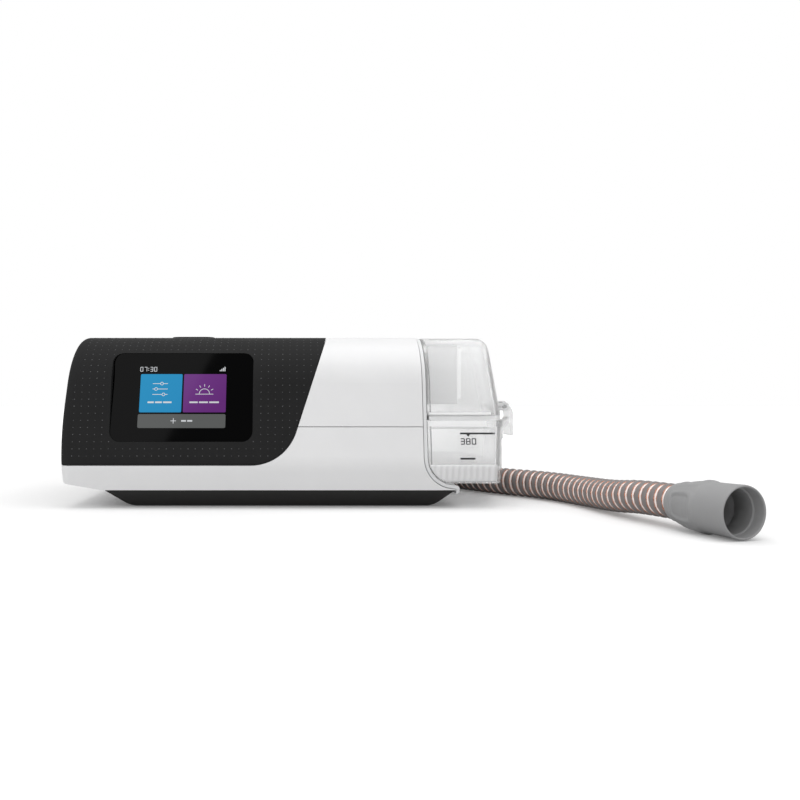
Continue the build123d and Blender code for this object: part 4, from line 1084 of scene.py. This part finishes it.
def strip_on_tub(points, faces, corners, layer):
    """Adds a thin plate over the tub's front, from rows of (x, z) corners and its two heights."""
    faces += slab_faces(len(points), len(corners), len(corners[0]))
    for out in layer:
        for row in corners:
            points += [tub_front(x, z, out) for x, z in row]


def make_tub_marks():
    """Two water level lines, a pointer and a plain number, printed on the tub's front."""
    points, faces = [], []
    layer = (0.01, 0.07)
    ink = moulded("dark_print", (0.02, 0.02, 0.022), 0.5, 4000, 5e-6, 0.1, 0.0)

    def line(left, right, low, high):
        """Adds a level line in short lengths, so that it follows the tub's front."""
        count = max(2, round((right - left) / 2.5))
        rows = []
        for z in (low, high):
            rows.append([(left + (right - left) * step / count, z) for step in range(count + 1)])
        strip_on_tub(points, faces, rows, layer)

    line(86.4, 105.2, 39.95, 40.9)
    line(86.2, 94.2, 26.5, 27.45)
    pointer = [[(90.72, 38.7), (90.88, 38.7)], [(89.7, 40.14), (91.9, 40.14)]]
    strip_on_tub(points, faces, pointer, layer)
    for left, digit in ((86.7, "3"), (89.75, "8"), (92.8, "0")):
        for corners in digit_corners(digit, left, 34.7, 1.9, 2.9, 0.5):
            low_left, low_right, high_right, high_left = corners
            strip_on_tub(points, faces, [[low_left, low_right], [high_left, high_right]], layer)
    make_plain_piece("level_marks", points, faces, ink, "tub")


def make_rim_bands():
    """Bright flanges of the lid and the base at the seal, painted white as a painted highlight, and
    a soft painted shadow line under the lower one.
    """
    painted_bright = moulded("flange_painted_highlight", (0.92, 0.92, 0.925), 0.3, 2500, 10e-6, 0.01, 0.0)
    shade = moulded("flange_shadow", (0.56, 0.565, 0.57), 0.4, 2500, 10e-6, 0.02, 0.0)
    layer, left, steps = (0.02, 0.12), 70.0, 14
    # The two flange bands are opaque white strips, a painted highlight of the clear flanges; the
    # flange line is a grey strip, a painted shadow.
    bands = (
        ("lid_flange_band", painted_bright, 103.5, 50.5, 51.8),
        ("base_flange_band", painted_bright, 101.0, 44.2, 47.2),
        ("flange_painted_shadow_line", shade, 104.0, 43.1, 43.6),
    )
    for name, finish, right, low, high in bands:
        points, faces = [], []
        columns = [left + (right - left) * step / steps for step in range(steps + 1)]
        strip_on_tub(points, faces, [[(x, z) for x in columns] for z in (low, high)], layer)
        make_plain_piece(name, points, faces, finish, "tub")


def make_grip_ribs():
    """Milky corrugated sheet of upright grip ribs along the tub's lower front edge."""
    columns = [70.2 + 0.4 * step for step in range(91)]
    top, first_ridge, ridge_pitch = 23.7, 71.6, 3.25
    rows = 13
    points = []
    for outer in (False, True):
        for row in range(rows):
            share = row / (rows - 1)
            lift = min(1.0, 6.0 * min(share, 1 - share)) ** 0.6
            for x in columns:
                low = grip_bottom(x)
                wave = 0.5 + 0.5 * math.cos(2 * math.pi * (x - first_ridge) / ridge_pitch)
                out = 0.05 + (0.12 + 0.5 * wave) * lift if outer else 0.02
                points.append(tub_front(x, low + (top - low) * share, out))
    faces = slab_faces(0, rows, len(columns))
    milky = moulded("milky_grip", (0.76, 0.76, 0.765), 0.3, 2500, 10e-6, 0.02, 0.0)
    make_plain_piece("grip_ribs", points, faces, milky, "tub", smooth=True)


def grip_bottom(x):
    """Lowest height of the tub's front face at an x, in millimetres, with a small margin."""
    low, highest, step, front = 14.1, 22.0, 0.3, -0.06
    while low < highest:
        here = tub_front(x, low, 0.0)
        if here is not None and here.y < front:
            break
        low += step
    return low + step


def make_duct_painted_highlight():
    """Glowing upright rib beside the air duct, a painted highlight where the tub's clear plastic
    gathers light.
    """
    low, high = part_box("lid_duct")
    points = []
    left, right = high[0] + 0.0001, high[0] + 0.0022
    front, back = low[1] + 0.0002, low[1] + 0.0032
    for z in (low[2] + 0.0034, high[2] - 0.003):
        points += [(left, front, z), (right, front, z), (right, back, z), (left, back, z)]
    faces = [(3, 2, 1, 0), (4, 5, 6, 7), (0, 1, 5, 4), (1, 2, 6, 5), (2, 3, 7, 6), (3, 0, 4, 7)]
    # The rib glows though it is no lamp: a painted highlight.
    painted_bright = glyph_glow_and_painted_highlight("painted_highlight_rib", (0.95, 0.95, 0.95), (0.9, 0.9, 0.9), 0.95)
    make_plain_piece("duct_painted_highlight", points, faces, painted_bright, "tub")


make_tub_marks()
make_rim_bands()
make_grip_ribs()
make_duct_painted_highlight()


# ---- Floor, backdrop and light ----
def make_floor():
    """Pale floor that keeps the machine's shadow and turns white away from it."""
    mesh = bpy.data.meshes.new("floor")
    mesh.from_pydata([(-4, -3, 0), (4, -3, 0), (4, 6, 0), (-4, 6, 0)], [], [(0, 1, 2, 3)])
    floor = bpy.data.objects.new("floor", mesh)
    bpy.context.collection.objects.link(floor)
    material, tree, shader, place = start_material("pale_floor")
    rays = put(tree, "ShaderNodeLightPath").outputs
    seen = reckon(tree, "MAXIMUM", rays["Is Camera Ray"], rays["Is Transmission Ray"])
    away = put(tree, "ShaderNodeVectorMath", {0: place}, operation="LENGTH").outputs["Value"]
    glow = reckon(tree, "MULTIPLY", seen, spread(tree, away, 0.2, 1.1, 0.1, 0.6))
    tone = blend_colours(tree, seen, (0.6, 0.6, 0.6, 1.0), (0.86, 0.86, 0.86, 1.0))
    set_inputs(
        tree,
        shader,
        Base_Color=tone,
        Roughness=0.9,
        Specular_IOR_Level=0.1,
        Emission_Color=white,
        Emission_Strength=glow,
    )
    mesh.materials.append(material)


def make_world():
    """White surroundings for the camera and through glass, a little dimmer for all other light."""
    world = bpy.data.worlds.new("surroundings")
    bpy.context.scene.world = world
    world.use_nodes = True
    tree = world.node_tree
    tree.nodes.clear()
    rays = put(tree, "ShaderNodeLightPath").outputs
    seen = reckon(tree, "MAXIMUM", rays["Is Camera Ray"], rays["Is Transmission Ray"])
    strength = spread(tree, seen, 0.0, 1.0, 0.72, 1.0)
    sky = put(tree, "ShaderNodeBackground", {"Color": white, "Strength": strength})
    result = tree.nodes.new("ShaderNodeOutputWorld")
    tree.links.new(sky.outputs[0], result.inputs[0])


def add_lamp(name, place, turn, size, power):
    """Soft rectangular lamp, turned by degrees from looking straight down."""
    lamp = bpy.data.lights.new(name, "AREA")
    lamp.shape = "RECTANGLE"
    lamp.size, lamp.size_y = size
    lamp.energy = power
    holder = bpy.data.objects.new(name, lamp)
    holder.location = place
    holder.rotation_euler = Euler([math.radians(angle) for angle in turn])
    bpy.context.collection.objects.link(holder)


make_floor()
make_world()
add_lamp("overhead_softbox", (0.05, -0.1, 1.25), (0.0, 0.0, 0.0), (1.3, 1.1), 7.0)
add_lamp("left_softbox", (-1.3, -0.95, 0.75), (66.0, 0.0, -54.0), (0.8, 0.8), 4.0)
add_lamp("slanted_card", (-0.504, -1.5, 1.087), (90.0, 20.8, 0.0), (0.46, 0.95), 3.4)
